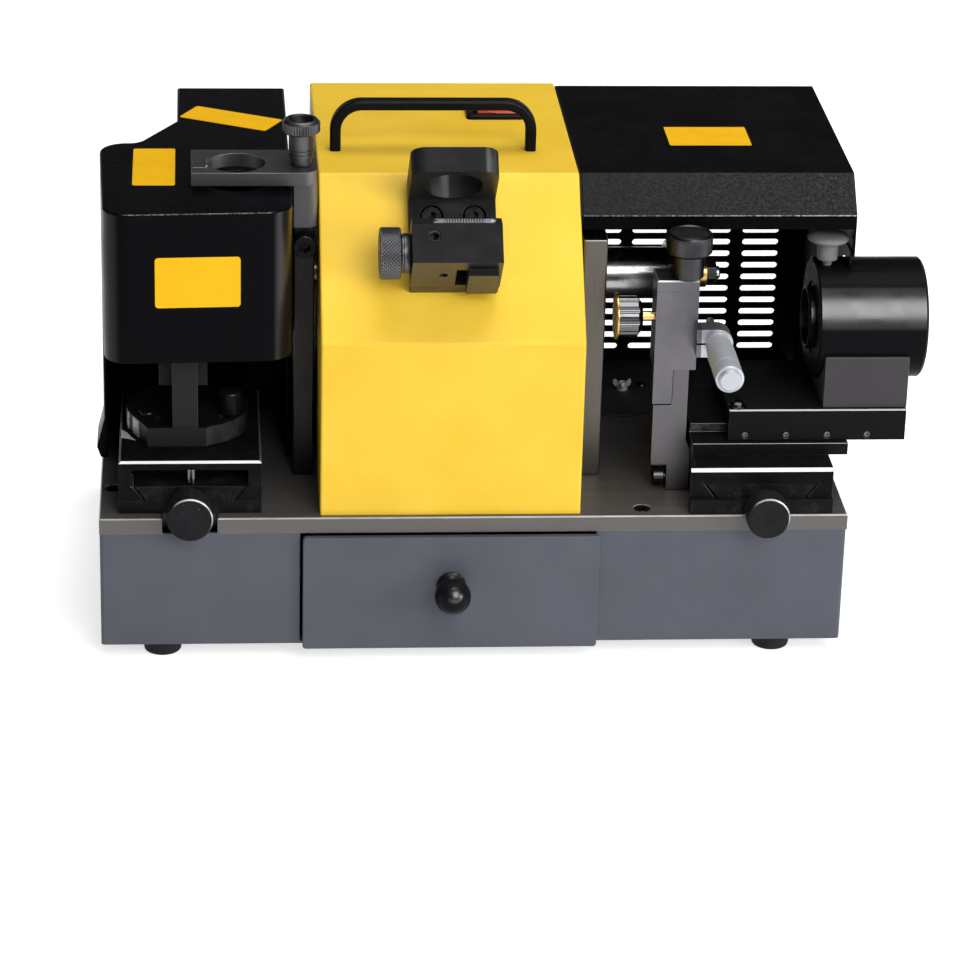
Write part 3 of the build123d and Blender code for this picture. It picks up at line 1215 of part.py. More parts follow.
with BuildPart() as gauge_height_knob:
    turned("Z", (*HEIGHT_SCREW, 0), [
        (62, 0),
        (62, HEIGHT_SCREW_RADIUS),
        (HEAD_Z[1] + PLAY, HEIGHT_SCREW_RADIUS),
        (HEAD_Z[1] + PLAY, HEIGHT_STEM_RADIUS),
        (HEIGHT_KNOB_Z[0], HEIGHT_STEM_RADIUS),
        (HEIGHT_KNOB_Z[0], HEIGHT_KNOB_RADIUS - 3),
        (HEIGHT_KNOB_Z[0] + 2, HEIGHT_KNOB_RADIUS),
        (HEIGHT_KNOB_Z[1] - 1, HEIGHT_KNOB_RADIUS),
        (HEIGHT_KNOB_Z[1], HEIGHT_KNOB_RADIUS - 1),
        (HEIGHT_KNOB_Z[1], 0),
    ])
save(gauge_height_knob.part, "gauge_height_knob")

with BuildPart() as gauge_lock_knob:
    turned("X", (0, LOCK_Y, LOCK_Z), [
        (LOCK_KNOB_X[0], 0),
        (LOCK_KNOB_X[0], LOCK_KNOB_RADIUS),
        (LOCK_KNOB_X[1] - 3, LOCK_KNOB_RADIUS),
        (LOCK_KNOB_X[1], LOCK_KNOB_RADIUS - 4),
        (LOCK_KNOB_X[1], LEAD_SCREW_RADIUS),
        (RAIL_X[0] - PLAY - 0.3, LEAD_SCREW_RADIUS),
        (RAIL_X[0] - PLAY - 0.3, 0),
    ])
    flute_plane = Plane(origin=point(LOCK_KNOB_X[0], LOCK_Y, LOCK_Z), x_dir=(0, 1, 0), z_dir=(1, 0, 0))
    with BuildSketch(flute_plane):
        with PolarLocations(LOCK_KNOB_RADIUS + 1, 10):
            Circle(2.2)
    extrude(amount=LOCK_KNOB_X[1] - LOCK_KNOB_X[0], mode=Mode.SUBTRACT)
save(gauge_lock_knob.part, "gauge_lock_knob")

with BuildPart() as gauge_lock_ring:
    turned("X", (0, LOCK_Y, LOCK_Z), [
        (LOCK_RING_X[0], 0),
        (LOCK_RING_X[0], LOCK_RING_RADIUS - 0.5),
        (LOCK_RING_X[0] + 0.5, LOCK_RING_RADIUS),
        (LOCK_RING_X[1], LOCK_RING_RADIUS),
        (LOCK_RING_X[1], 0),
    ])
save(gauge_lock_ring.part, "gauge_lock_ring")

micrometer_start = (MICROMETER[0], 0, MICROMETER[1])
with BuildPart() as micrometer_barrel:
    spindle_hole = MICROMETER_SPINDLE_RADIUS + RUNNING_FIT
    turned("Y", micrometer_start, [
        (BARREL_FRONT, spindle_hole),
        (BARREL_FRONT, BARREL_RADIUS),
        (MICROMETER_BOSS_Y[0], BARREL_RADIUS),
        (MICROMETER_BOSS_Y[0], 5),
        (MICROMETER_BOSS_Y[1], 5),
        (MICROMETER_BOSS_Y[1], spindle_hole),
    ])
save(micrometer_barrel.part, "micrometer_barrel")

with BuildPart() as micrometer_spindle:
    rod(
        "Y",
        (MICROMETER[0], MICROMETER_SPINDLE_Y[0], MICROMETER[1]),
        MICROMETER_SPINDLE_Y[1] - MICROMETER_SPINDLE_Y[0],
        MICROMETER_SPINDLE_RADIUS,
    )
save(micrometer_spindle.part, "micrometer_spindle")

with BuildPart() as micrometer_thimble:
    cavity_end = THIMBLE_Y[1] - 24
    turned("Y", micrometer_start, [
        (THIMBLE_CAP_Y, 0),
        (THIMBLE_CAP_Y, 5.6),
        (THIMBLE_CAP_Y + 1.2, 6.8),
        (THIMBLE_Y[0], 7),
        (THIMBLE_Y[0], THIMBLE_RADIUS - 0.6),
        (THIMBLE_Y[0] + 0.6, THIMBLE_RADIUS),
        (THIMBLE_Y[1] - 6, THIMBLE_RADIUS),
        (THIMBLE_Y[1], BARREL_RADIUS + 0.5),
        (THIMBLE_Y[1], BARREL_RADIUS + 0.35),
        (cavity_end, BARREL_RADIUS + 0.35),
        (cavity_end, spindle_hole),
        (MICROMETER_SPINDLE_Y[0], spindle_hole),
        (MICROMETER_SPINDLE_Y[0], 0),
    ])
save(micrometer_thimble.part, "micrometer_thimble")

# Dust tray under the right wheel
with BuildPart() as dust_tray:
    for x, y, radius in TRAY_LOBES:
        rod("Z", (x, y, 0), TRAY_THICKNESS, radius)
        block((x - radius, x + radius), (y, TRAY_LOBE_BACK), (0, TRAY_THICKNESS))
    block(TRAY_BACK_X, TRAY_BACK_Y, (0, TRAY_THICKNESS))
save(dust_tray.part, "dust_tray")
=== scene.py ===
from math import cos, floor, hypot, pi, radians, sin

import bmesh
import bpy
from mathutils import Matrix, Vector


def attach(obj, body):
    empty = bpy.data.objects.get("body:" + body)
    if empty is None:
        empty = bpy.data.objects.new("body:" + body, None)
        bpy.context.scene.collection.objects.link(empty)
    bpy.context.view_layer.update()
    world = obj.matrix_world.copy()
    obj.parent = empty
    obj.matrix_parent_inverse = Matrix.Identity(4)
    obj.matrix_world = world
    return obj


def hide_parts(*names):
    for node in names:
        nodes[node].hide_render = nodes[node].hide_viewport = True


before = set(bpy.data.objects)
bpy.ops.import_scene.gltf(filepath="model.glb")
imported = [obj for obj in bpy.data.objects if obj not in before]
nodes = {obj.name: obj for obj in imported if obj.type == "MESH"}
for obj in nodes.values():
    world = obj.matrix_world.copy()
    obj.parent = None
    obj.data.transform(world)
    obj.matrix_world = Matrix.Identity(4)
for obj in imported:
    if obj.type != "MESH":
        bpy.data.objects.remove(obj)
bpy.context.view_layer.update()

X = Vector((1.0, 0.0, 0.0))
Y = Vector((0.0, 1.0, 0.0))
Z = Vector((0.0, 0.0, 1.0))

# Bed datum, the middle of the bed plate's top front edge, in the object's frame, in millimetres
BED = Vector((-22.5, -114.0, 95.6))

# Faces and axes that small pieces sit on, from the bed datum, in millimetres
HOUSING_RIGHT = 63.1
HOUSING_BACK = 258.0
HOOD_RIGHT = 229.6
HOOD_BACK = 250.0
HOOD_TOP = 189.7
GUARD_BACK = 252.0
GUARD_TOP = 187.3
TRAY_TOP = 1.5
CARRIAGE_FRONT = 30.0
CARRIAGE_TOP = 56.0
ARM_TOP = 198.5
SPINDLE_Y = 110.0
SPINDLE_Z = 114.6
ARBOR_RADIUS = 16.0
SLEEVE_Y = 70.0
SLEEVE_Z = 100.8

# The housing's slope: x along it, y up it and z off it
SLOPE_FOOT = Vector((0.0, 3.8, 109.6))
SLOPE_RUN = 75.9
SLOPE_RISE = 80.1
SLOPE_LENGTH = hypot(SLOPE_RUN, SLOPE_RISE)
SLOPE_UP = Vector((0.0, SLOPE_RUN / SLOPE_LENGTH, SLOPE_RISE / SLOPE_LENGTH))
SLOPE_OFF = Vector((0.0, -SLOPE_RISE / SLOPE_LENGTH, SLOPE_RUN / SLOPE_LENGTH))

# Camera, as fitted to the photograph: its eye from the bed datum, angles in degrees, and lens in millimetres
CAMERA_EYE = Vector((-165.1, -2073.7, 936.5))
CAMERA_AZIMUTH = -4.60
CAMERA_ELEVATION = 23.68
CAMERA_ROLL = 1.51
CAMERA_LENS = 142.83
SENSOR = 36.0

# Edges that turn by more than this are rounded on the nodes and kept sharp on the small pieces
SHARP_ANGLE = radians(32)

# How far a change between two finishes reaches to each side, in millimetres
SOFTNESS = 0.05


def at(x, y, z):
    """Place in the object's frame, in metres, of a point given from the bed datum in millimetres."""
    return (BED + Vector((x, y, z))) / 1000


def on_slope(x, up, off):
    """Point from the bed datum, in millimetres, of a point given on the housing's slope."""
    return SLOPE_FOOT + X * x + SLOPE_UP * up + SLOPE_OFF * off


# Materials


class Surface:
    """A node material whose texture coordinates are the object's own, in metres."""

    def __init__(self, name, colour, roughness, metallic=0.0, specular=0.5):
        self.material = bpy.data.materials.new(name)
        self.material.use_nodes = True
        self.tree = self.material.node_tree
        self.shader = self.tree.nodes["Principled BSDF"]
        self.shader.inputs["Base Color"].default_value = (*colour, 1)
        self.shader.inputs["Roughness"].default_value = roughness
        self.shader.inputs["Metallic"].default_value = metallic
        self.shader.inputs["Specular IOR Level"].default_value = specular
        coordinates = self.tree.nodes.new("ShaderNodeTexCoord")
        self.place = coordinates.outputs["Object"]
        self.normal = coordinates.outputs["Normal"]

    def put(self, socket, value):
        """Give a socket a number, a colour or another node's output."""
        if isinstance(value, bpy.types.NodeSocket):
            self.tree.links.new(value, socket)
        elif socket.type == "RGBA":
            socket.default_value = (*value, 1)
        else:
            socket.default_value = value

    def noise(self, size, detail=3.0, rough=0.55, stretch=(1, 1, 1), turn=(0, 0, 0)):
        """Noise with grains of a size in millimetres, drawn out along an axis by a stretch."""
        mapping = self.tree.nodes.new("ShaderNodeMapping")
        mapping.inputs["Rotation"].default_value = turn
        mapping.inputs["Scale"].default_value = [1 / value for value in stretch]
        self.tree.links.new(self.place, mapping.inputs["Vector"])
        noise = self.tree.nodes.new("ShaderNodeTexNoise")
        noise.inputs["Scale"].default_value = 1000 / size
        noise.inputs["Detail"].default_value = detail
        noise.inputs["Roughness"].default_value = rough
        self.tree.links.new(mapping.outputs["Vector"], noise.inputs["Vector"])
        return noise.outputs[0]

    def cells(self, size):
        """Voronoi cells of a size in millimetres: the distance to their middle."""
        voronoi = self.tree.nodes.new("ShaderNodeTexVoronoi")
        voronoi.inputs["Scale"].default_value = 1000 / size
        self.tree.links.new(self.place, voronoi.inputs["Vector"])
        return voronoi.outputs["Distance"]

    def spread(self, value, low, high, out_low=0.0, out_high=1.0):
        """Map a range of a value to another range, held at its ends."""
        node = self.tree.nodes.new("ShaderNodeMapRange")
        node.inputs["From Min"].default_value = low
        node.inputs["From Max"].default_value = high
        node.inputs["To Min"].default_value = out_low
        node.inputs["To Max"].default_value = out_high
        self.tree.links.new(value, node.inputs["Value"])
        return node.outputs["Result"]

    def vary(self, noise, middle, less, more):
        """A measure that a noise takes from less than its middle to more."""
        return self.spread(noise, 0.3, 0.7, middle - less, middle + more)

    def calc(self, operation, first, second=0.0):
        """Arithmetic on one or two values."""
        node = self.tree.nodes.new("ShaderNodeMath")
        node.operation = operation
        self.put(node.inputs[0], first)
        self.put(node.inputs[1], second)
        return node.outputs[0]

    def times(self, first, second):
        """Product of two values."""
        return self.calc("MULTIPLY", first, second)

    def blend(self, factor, first, second):
        """Colour between two colours."""
        node = self.tree.nodes.new("ShaderNodeMix")
        node.data_type = "RGBA"
        self.put(node.inputs["Factor"], factor)
        self.put(node.inputs[6], first)
        self.put(node.inputs[7], second)
        return node.outputs[2]

    def bump(self, height, depth, strength=1.0, under=None):
        """Relief of a depth in millimetres."""
        node = self.tree.nodes.new("ShaderNodeBump")
        node.inputs["Strength"].default_value = strength
        node.inputs["Distance"].default_value = depth / 1000
        self.tree.links.new(height, node.inputs["Height"])
        if under is not None:
            self.tree.links.new(under, node.inputs["Normal"])
        return node.outputs["Normal"]

    def along(self, vector, axis):
        """One of a vector's three values."""
        split = self.tree.nodes.new("ShaderNodeSeparateXYZ")
        self.tree.links.new(vector, split.inputs["Vector"])
        return split.outputs[axis]

    def edges(self):
        """One on rounded edges of a boxy piece and nought on its flats."""
        sizes = [self.calc("ABSOLUTE", self.along(self.normal, axis)) for axis in "XYZ"]
        largest = self.calc("MAXIMUM", self.calc("MAXIMUM", sizes[0], sizes[1]), sizes[2])
        return self.spread(largest, 0.985, 0.80)

    def facing(self, direction, low, high):
        """Nought to one as the surface turns towards a direction."""
        node = self.tree.nodes.new("ShaderNodeVectorMath")
        node.operation = "DOT_PRODUCT"
        self.tree.links.new(self.normal, node.inputs[0])
        node.inputs[1].default_value = direction.normalized()
        return self.spread(node.outputs["Value"], low, high)

    def beyond(self, axis, split):
        """One past a place along an axis, in the object's millimetres."""
        place = self.along(self.place, axis)
        return self.spread(place, (split - SOFTNESS) / 1000, (split + SOFTNESS) / 1000)

    def within(self, axis, low, high):
        """One between two places along an axis, in the object's millimetres."""
        return self.calc("SUBTRACT", self.beyond(axis, low), self.beyond(axis, high))

    def gloss(self, base, lobes):
        """Specular level: a base, raised where the surface turns towards given directions."""
        level = base
        for direction, low, high, rise in lobes:
            share = self.times(self.facing(direction, low, high), rise)
            level = self.calc("ADD", share, level)
        self.put(self.shader.inputs["Specular IOR Level"], level)

    def ticks(self, axis, pitch, share):
        """One on lines across an axis, a pitch in millimetres apart."""
        steps = self.times(self.along(self.place, axis), 1000 / pitch)
        return self.calc("LESS_THAN", self.calc("FRACT", steps), share)

    def use(self, colour, roughness, normal):
        """Link what varies over the surface to the shader."""
        self.tree.links.new(colour, self.shader.inputs["Base Color"])
        if roughness is not None:
            self.tree.links.new(roughness, self.shader.inputs["Roughness"])
        self.tree.links.new(normal, self.shader.inputs["Normal"])
        return self.material


def tint(colour, share):
    """Darker or lighter shade of a colour."""
    return [min(value * share, 1) for value in colour]


def grey(level):
    """Neutral colour of a brightness."""
    return [level] * 3


# Directions of the folded edges, and the one half way between the photograph's eye and its main light
FRONT_EDGE = Vector((0, -1, 1))
FOLD_EDGE = Vector((0, -0.92, 0.38))
KEY_SIDE = Vector((0.05, -0.88, 0.48))

# Gloss on what faces a direction: the direction, the cosines at which it starts and is full, and its height
RIGHT_CORNER = (Vector((1, -0.7, 0)), 0.80, 0.93, 0.45)
LEFT_CORNER = (Vector((-1, -0.7, 0)), 0.85, 0.95, 0.12)
TAB_CORNER = (Vector((0.5, -0.63, 0.6)), 0.90, 0.98, 1.6)
UNDERSIDE = (-SLOPE_UP, 0.93, 0.985, 0.8)
SLEEVE_SHINE = (KEY_SIDE, 0.93, 0.985, 0.95)
SLEEVE_END = (-X, 0.90, 0.97, -0.02)


def glint(height):
    """Gloss on what faces the main light's side."""
    return (KEY_SIDE, 0.88, 0.95, height)


def powder_coat(name, colour, light, dark, grain, depth, roughness, specular):
    """Baked paint with a fine grained relief and a faint mottle."""
    s = Surface(name, colour, roughness, specular=specular)
    mottle = s.noise(45, 4)
    fine = s.noise(grain, 2)
    tone = s.blend(s.spread(mottle, 0.35, 0.65), dark, light)
    tone = s.blend(s.spread(fine, 0.62, 0.8, 0, 0.35), tone, light)
    relief = s.bump(fine, depth)
    relief = s.bump(s.noise(grain * 3.5, 2), depth * 1.6, 0.7, relief)
    return s.use(tone, s.vary(fine, roughness, 0.06, 0.08), relief)


def wrinkle_coat(name, colour, speck, grain, depth, roughness, base, lobes=(), edge_highlight=0.05):
    """Black wrinkle paint: small blisters, and a painted highlight in patches along the upper front edge."""
    s = Surface(name, colour, roughness)
    s.gloss(base, lobes)
    blister = s.cells(grain)
    fine = s.noise(grain * 0.7, 3)
    tone = s.blend(s.spread(fine, 0.66, 0.8), colour, speck)
    # Painted highlight: light grey patches along the upper front edge
    patches = s.spread(s.noise(1.6, 4, 0.7), 0.42, 0.6, 0.1, 1)
    tone = s.blend(s.times(s.facing(FRONT_EDGE, 0.965, 0.99), patches), tone, grey(edge_highlight))
    rough = s.spread(s.noise(30, 3), 0.35, 0.65, roughness - 0.05, roughness + 0.08)
    relief = s.bump(blister, depth, 0.8)
    relief = s.bump(fine, depth * 0.7, 0.7, relief)
    return s.use(tone, rough, relief)


def hood_coat(name, colour, lip, edge_highlight, roughness):
    """Black wrinkle paint: a lip speckled with painted highlights, and a painted highlight along the fold
    under it, both stronger to the right.
    """
    s = Surface(name, colour, roughness)
    s.gloss(0.02, [(FRONT_EDGE, 0.93, 0.98, 0.14)])
    blister = s.cells(2.0)
    fine = s.noise(1.4, 3)
    # Painted light: the painted highlights below grow from about a third to full strength towards the right
    right = s.spread(s.along(s.place, "X"), 0.04, 0.20, 0.35, 1.0)
    specks = s.spread(s.noise(1.5, 3, 0.65), 0.42, 0.72)
    # Painted highlight: light specks on the lip
    speckle = s.times(s.facing(FRONT_EDGE, 0.93, 0.98), specks)
    tone = s.blend(s.times(speckle, right), colour, grey(lip))
    patches = s.spread(s.noise(1.6, 4, 0.7), 0.4, 0.6, 0.1, 1)
    # Painted highlight along the fold under the lip
    bright_edge = s.times(s.facing(FOLD_EDGE, 0.965, 0.99), patches)
    tone = s.blend(s.times(bright_edge, right), tone, grey(edge_highlight))
    rough = s.spread(s.noise(30, 3), 0.35, 0.65, roughness - 0.05, roughness + 0.08)
    relief = s.bump(blister, 0.14, 0.8)
    relief = s.bump(fine, 0.09, 0.7, relief)
    return s.use(tone, rough, relief)


def ground_steel(name, colour, bright, along, roughness, edge=0.9, metallic=1.0, front=1.0, recess=None):
    """Ground steel with lines along an axis or an even grain, lighter edges that are partly polish and
    partly painted highlight, painted shade on its front faces, and a recess in painted shade.
    """
    s = Surface(name, colour, roughness, metallic=metallic)
    lines = s.noise(0.5, 4, 0.65, [60.0 if axis == along else 1.0 for axis in "xyz"])
    bands = s.noise(6, 3, 0.6, [25.0 if axis == along else 1.0 for axis in "xyz"])
    stain = s.noise(28, 5, 0.6)
    tone = s.blend(s.spread(bands, 0.3, 0.7), tint(colour, 0.75), colour)
    tone = s.blend(s.spread(stain, 0.55, 0.75, 0, 0.5), tone, tint(colour, 0.8))
    # Painted light and shade: faces turned to the front take a share of the colour
    tone = s.blend(s.facing(-Y, 0.8, 0.95), tone, tint(colour, front))
    tone = s.blend(s.spread(lines, 0.6, 0.8, 0, 0.25), tone, tint(colour, 1.6))
    # Edges lightened: partly polish, partly painted highlight
    tone = s.blend(s.times(s.edges(), s.spread(stain, 0.2, 0.6, 0.4, edge)), tone, bright)
    # Painted shade: the recess is darkened to near black
    if recess:
        hidden = s.times(s.within("X", *recess[0]), s.within("Y", *recess[1]))
        tone = s.blend(hidden, tone, grey(0.006))
    return s.use(tone, s.vary(lines, roughness, 0.09, 0.12), s.bump(lines, 0.006, 0.5))


def clamp_steel(name, colour, pale, split, bright, roughness):
    """Grained steel that is pale to the right of a place, where its cast clamp begins."""
    s = Surface(name, colour, roughness, metallic=1.0)
    grain = s.noise(0.6, 3, 0.65)
    stain = s.noise(22, 4, 0.6)
    tone = s.blend(s.spread(stain, 0.4, 0.7), colour, tint(colour, 0.8))
    tone = s.blend(s.beyond("X", split), tone, pale)
    tone = s.blend(s.spread(grain, 0.58, 0.8, 0, 0.3), tone, tint(colour, 1.7))
    # Edges lightened to near white: partly polish, partly painted highlight
    tone = s.blend(s.edges(), tone, bright)
    return s.use(tone, s.vary(grain, roughness, 0.08, 0.1), s.bump(grain, 0.008, 0.5))


def black_oxide(name, colour, wear_and_sheen_colour, roughness, base, lobes, scratch, edge, front=1.0, edge_highlight=0.0, dust=0.0):
    """Blackened steel with bright scratches and dust, edges lightened by wear and a painted highlight, front
    faces in painted light or shade, and a painted highlight along its upper front edge.
    """
    s = Surface(name, colour, roughness)
    s.gloss(base, lobes)
    cloud = s.noise(14, 5, 0.62)
    grain = s.noise(0.7, 2, 0.6)
    fleck = s.times(s.spread(grain, 0.72, 0.78), s.spread(s.noise(9, 3), 0.5, 0.66))
    scuff = s.spread(s.noise(1.1, 3, 0.7, turn=(0.4, 0.3, 0.7)), 0.66, 0.74)
    scuff = s.times(scuff, s.spread(cloud, 0.5, 0.68))
    wear_and_sheen = s.times(s.calc("MAXIMUM", fleck, scuff), scratch)
    # Edges lightened: partly wear, partly painted highlight
    if edge:
        bright_edge = s.times(s.edges(), s.spread(s.noise(5, 4), 0.35, 0.62, 0.15, edge))
        wear_and_sheen = s.calc("MAXIMUM", wear_and_sheen, bright_edge)
    tone = s.blend(s.spread(cloud, 0.35, 0.7), colour, tint(colour, 1.5))
    # Painted light and shade: faces turned to the front take a share of the colour
    tone = s.blend(s.facing(-Y, 0.8, 0.95), tone, tint(colour, front))
    if dust:
        chalk = s.times(s.spread(grain, 0.4, 0.75), s.spread(s.noise(11, 4, 0.6), 0.5, 0.66))
        tone = s.blend(chalk, tone, (dust, dust, dust * 1.1))
    tone = s.blend(wear_and_sheen, tone, wear_and_sheen_colour)
    # Painted highlight along the upper front edge
    if edge_highlight:
        tone = s.blend(s.facing(FRONT_EDGE, 0.88, 0.96), tone, grey(edge_highlight))
    return s.use(tone, s.vary(cloud, roughness, 0.07, 0.12), s.bump(grain, 0.012, 0.4))


def rimmed_knob(name, colour, rim, roughness, base, lobes):
    """Dark turned knob with a painted highlight on its front chamfer where it turns up and to the right."""
    s = Surface(name, colour, roughness)
    s.gloss(base, lobes)
    turned = s.calc("ABSOLUTE", s.along(s.normal, "Y"))
    ring = s.times(s.spread(turned, 0.45, 0.6), s.spread(turned, 0.85, 0.95, 1, 0))
    # Painted highlight: the chamfer ring only where it faces up and to the right, broken by noise
    ring = s.times(ring, s.facing(Vector((0.55, -0.45, 0.7)), 0.35, 0.85))
    ring = s.times(ring, s.spread(s.noise(7, 3), 0.35, 0.6, 0.4, 1))
    fleck = s.spread(s.noise(1.1, 2, 0.6), 0.72, 0.76)
    fleck = s.times(fleck, s.spread(s.noise(8, 2), 0.55, 0.62))
    tone = s.blend(s.spread(s.noise(12, 4), 0.35, 0.7), colour, tint(colour, 1.5))
    tone = s.blend(s.calc("MAXIMUM", ring, fleck), tone, grey(rim))
    lathe = s.noise(0.35, 2, 0.6, (1, 30, 1))
    return s.use(tone, s.vary(lathe, roughness, 0.06, 0.1), s.bump(lathe, 0.006, 0.5))


def turned_metal(name, colour, roughness, metallic=1.0):
    """Turned or polished metal with faint handling marks."""
    s = Surface(name, colour, roughness, metallic)
    smear = s.noise(9, 4, 0.6)
    fine = s.noise(0.5, 2)
    tone = s.blend(s.spread(smear, 0.4, 0.75, 0, 0.3), colour, tint(colour, 0.7))
    return s.use(tone, s.vary(smear, roughness, 0.05, 0.08), s.bump(fine, 0.004, 0.35))


def ringed_metal(name, colour, roughness, rings):
    """Satin metal with rings across y of other colours, given by places in the object's millimetres."""
    s = Surface(name, colour, roughness, 0.55)
    fine = s.noise(0.4, 2)
    tone = s.blend(s.spread(s.noise(10, 4), 0.4, 0.75, 0, 0.3), colour, tint(colour, 0.8))
    for low, high, ring in rings:
        tone = s.blend(s.within("Y", low, high), tone, ring)
    return s.use(tone, s.vary(fine, roughness, 0.05, 0.08), s.bump(fine, 0.004, 0.35))


def two_metals(name, first, second, split, roughness):
    """Polished metal that changes to another to the right of a place."""
    s = Surface(name, first, roughness, metallic=1.0)
    smear = s.noise(6, 4, 0.6)
    tone = s.blend(s.beyond("X", split), first, second)
    tone = s.blend(s.spread(smear, 0.45, 0.8, 0, 0.5), tone, tint(first, 0.5))
    return s.use(tone, s.vary(smear, roughness, 0.04, 0.06), s.bump(smear, 0.01, 0.3))


def scale_plate(name, colour, dark, pitch, span, roughness):
    """Etched scale: dark ticks across x over a span in the object's millimetres."""
    s = Surface(name, colour, roughness, 0.6)
    marks = s.times(s.ticks("X", pitch, 0.42), s.within("X", *span))
    tone = s.blend(s.spread(s.noise(3, 3), 0.4, 0.75, 0, 0.5), colour, tint(colour, 0.6))
    tone = s.blend(marks, tone, dark)
    return s.use(tone, None, s.bump(s.noise(0.4, 2), 0.004, 0.3))


def plastic(name, colour, roughness, base, lobes=(), grain=0.8, depth=0.01):
    """Moulded plastic, lacquer or rubber with a fine skin."""
    s = Surface(name, colour, roughness)
    s.gloss(base, lobes)
    skin = s.noise(grain, 2)
    cloud = s.noise(18, 3)
    tone = s.blend(s.spread(cloud, 0.35, 0.7), colour, tint(colour, 1.25))
    return s.use(tone, s.vary(cloud, roughness, 0.05, 0.07), s.bump(skin, depth, 0.5))


def sticker_film(name, colour, roughness):
    """Plain film, a little faded and scuffed."""
    s = Surface(name, colour, roughness, specular=0.2)
    fade = s.noise(16, 4)
    scuff = s.spread(s.noise(0.8, 3, 0.7, turn=(0.3, 0.5, 0.2)), 0.68, 0.76, 0, 0.35)
    tone = s.blend(s.spread(fade, 0.35, 0.7), colour, tint(colour, 0.93))
    tone = s.blend(scuff, tone, tint(colour, 0.75))
    return s.use(tone, s.vary(fade, roughness, 0.05, 0.08), s.bump(fade, 0.03, 0.3))


def abrasive(name, colour, dark, sparkle):
    """Bonded grit."""
    s = Surface(name, colour, 0.85, specular=0.3)
    grit = s.noise(0.7, 3, 0.7)
    tone = s.blend(s.spread(grit, 0.35, 0.6), dark, colour)
    tone = s.blend(s.spread(s.cells(0.6), 0.0, 0.16, 0.8, 0), tone, sparkle)
    return s.use(tone, None, s.bump(grit, 0.12, 0.8))


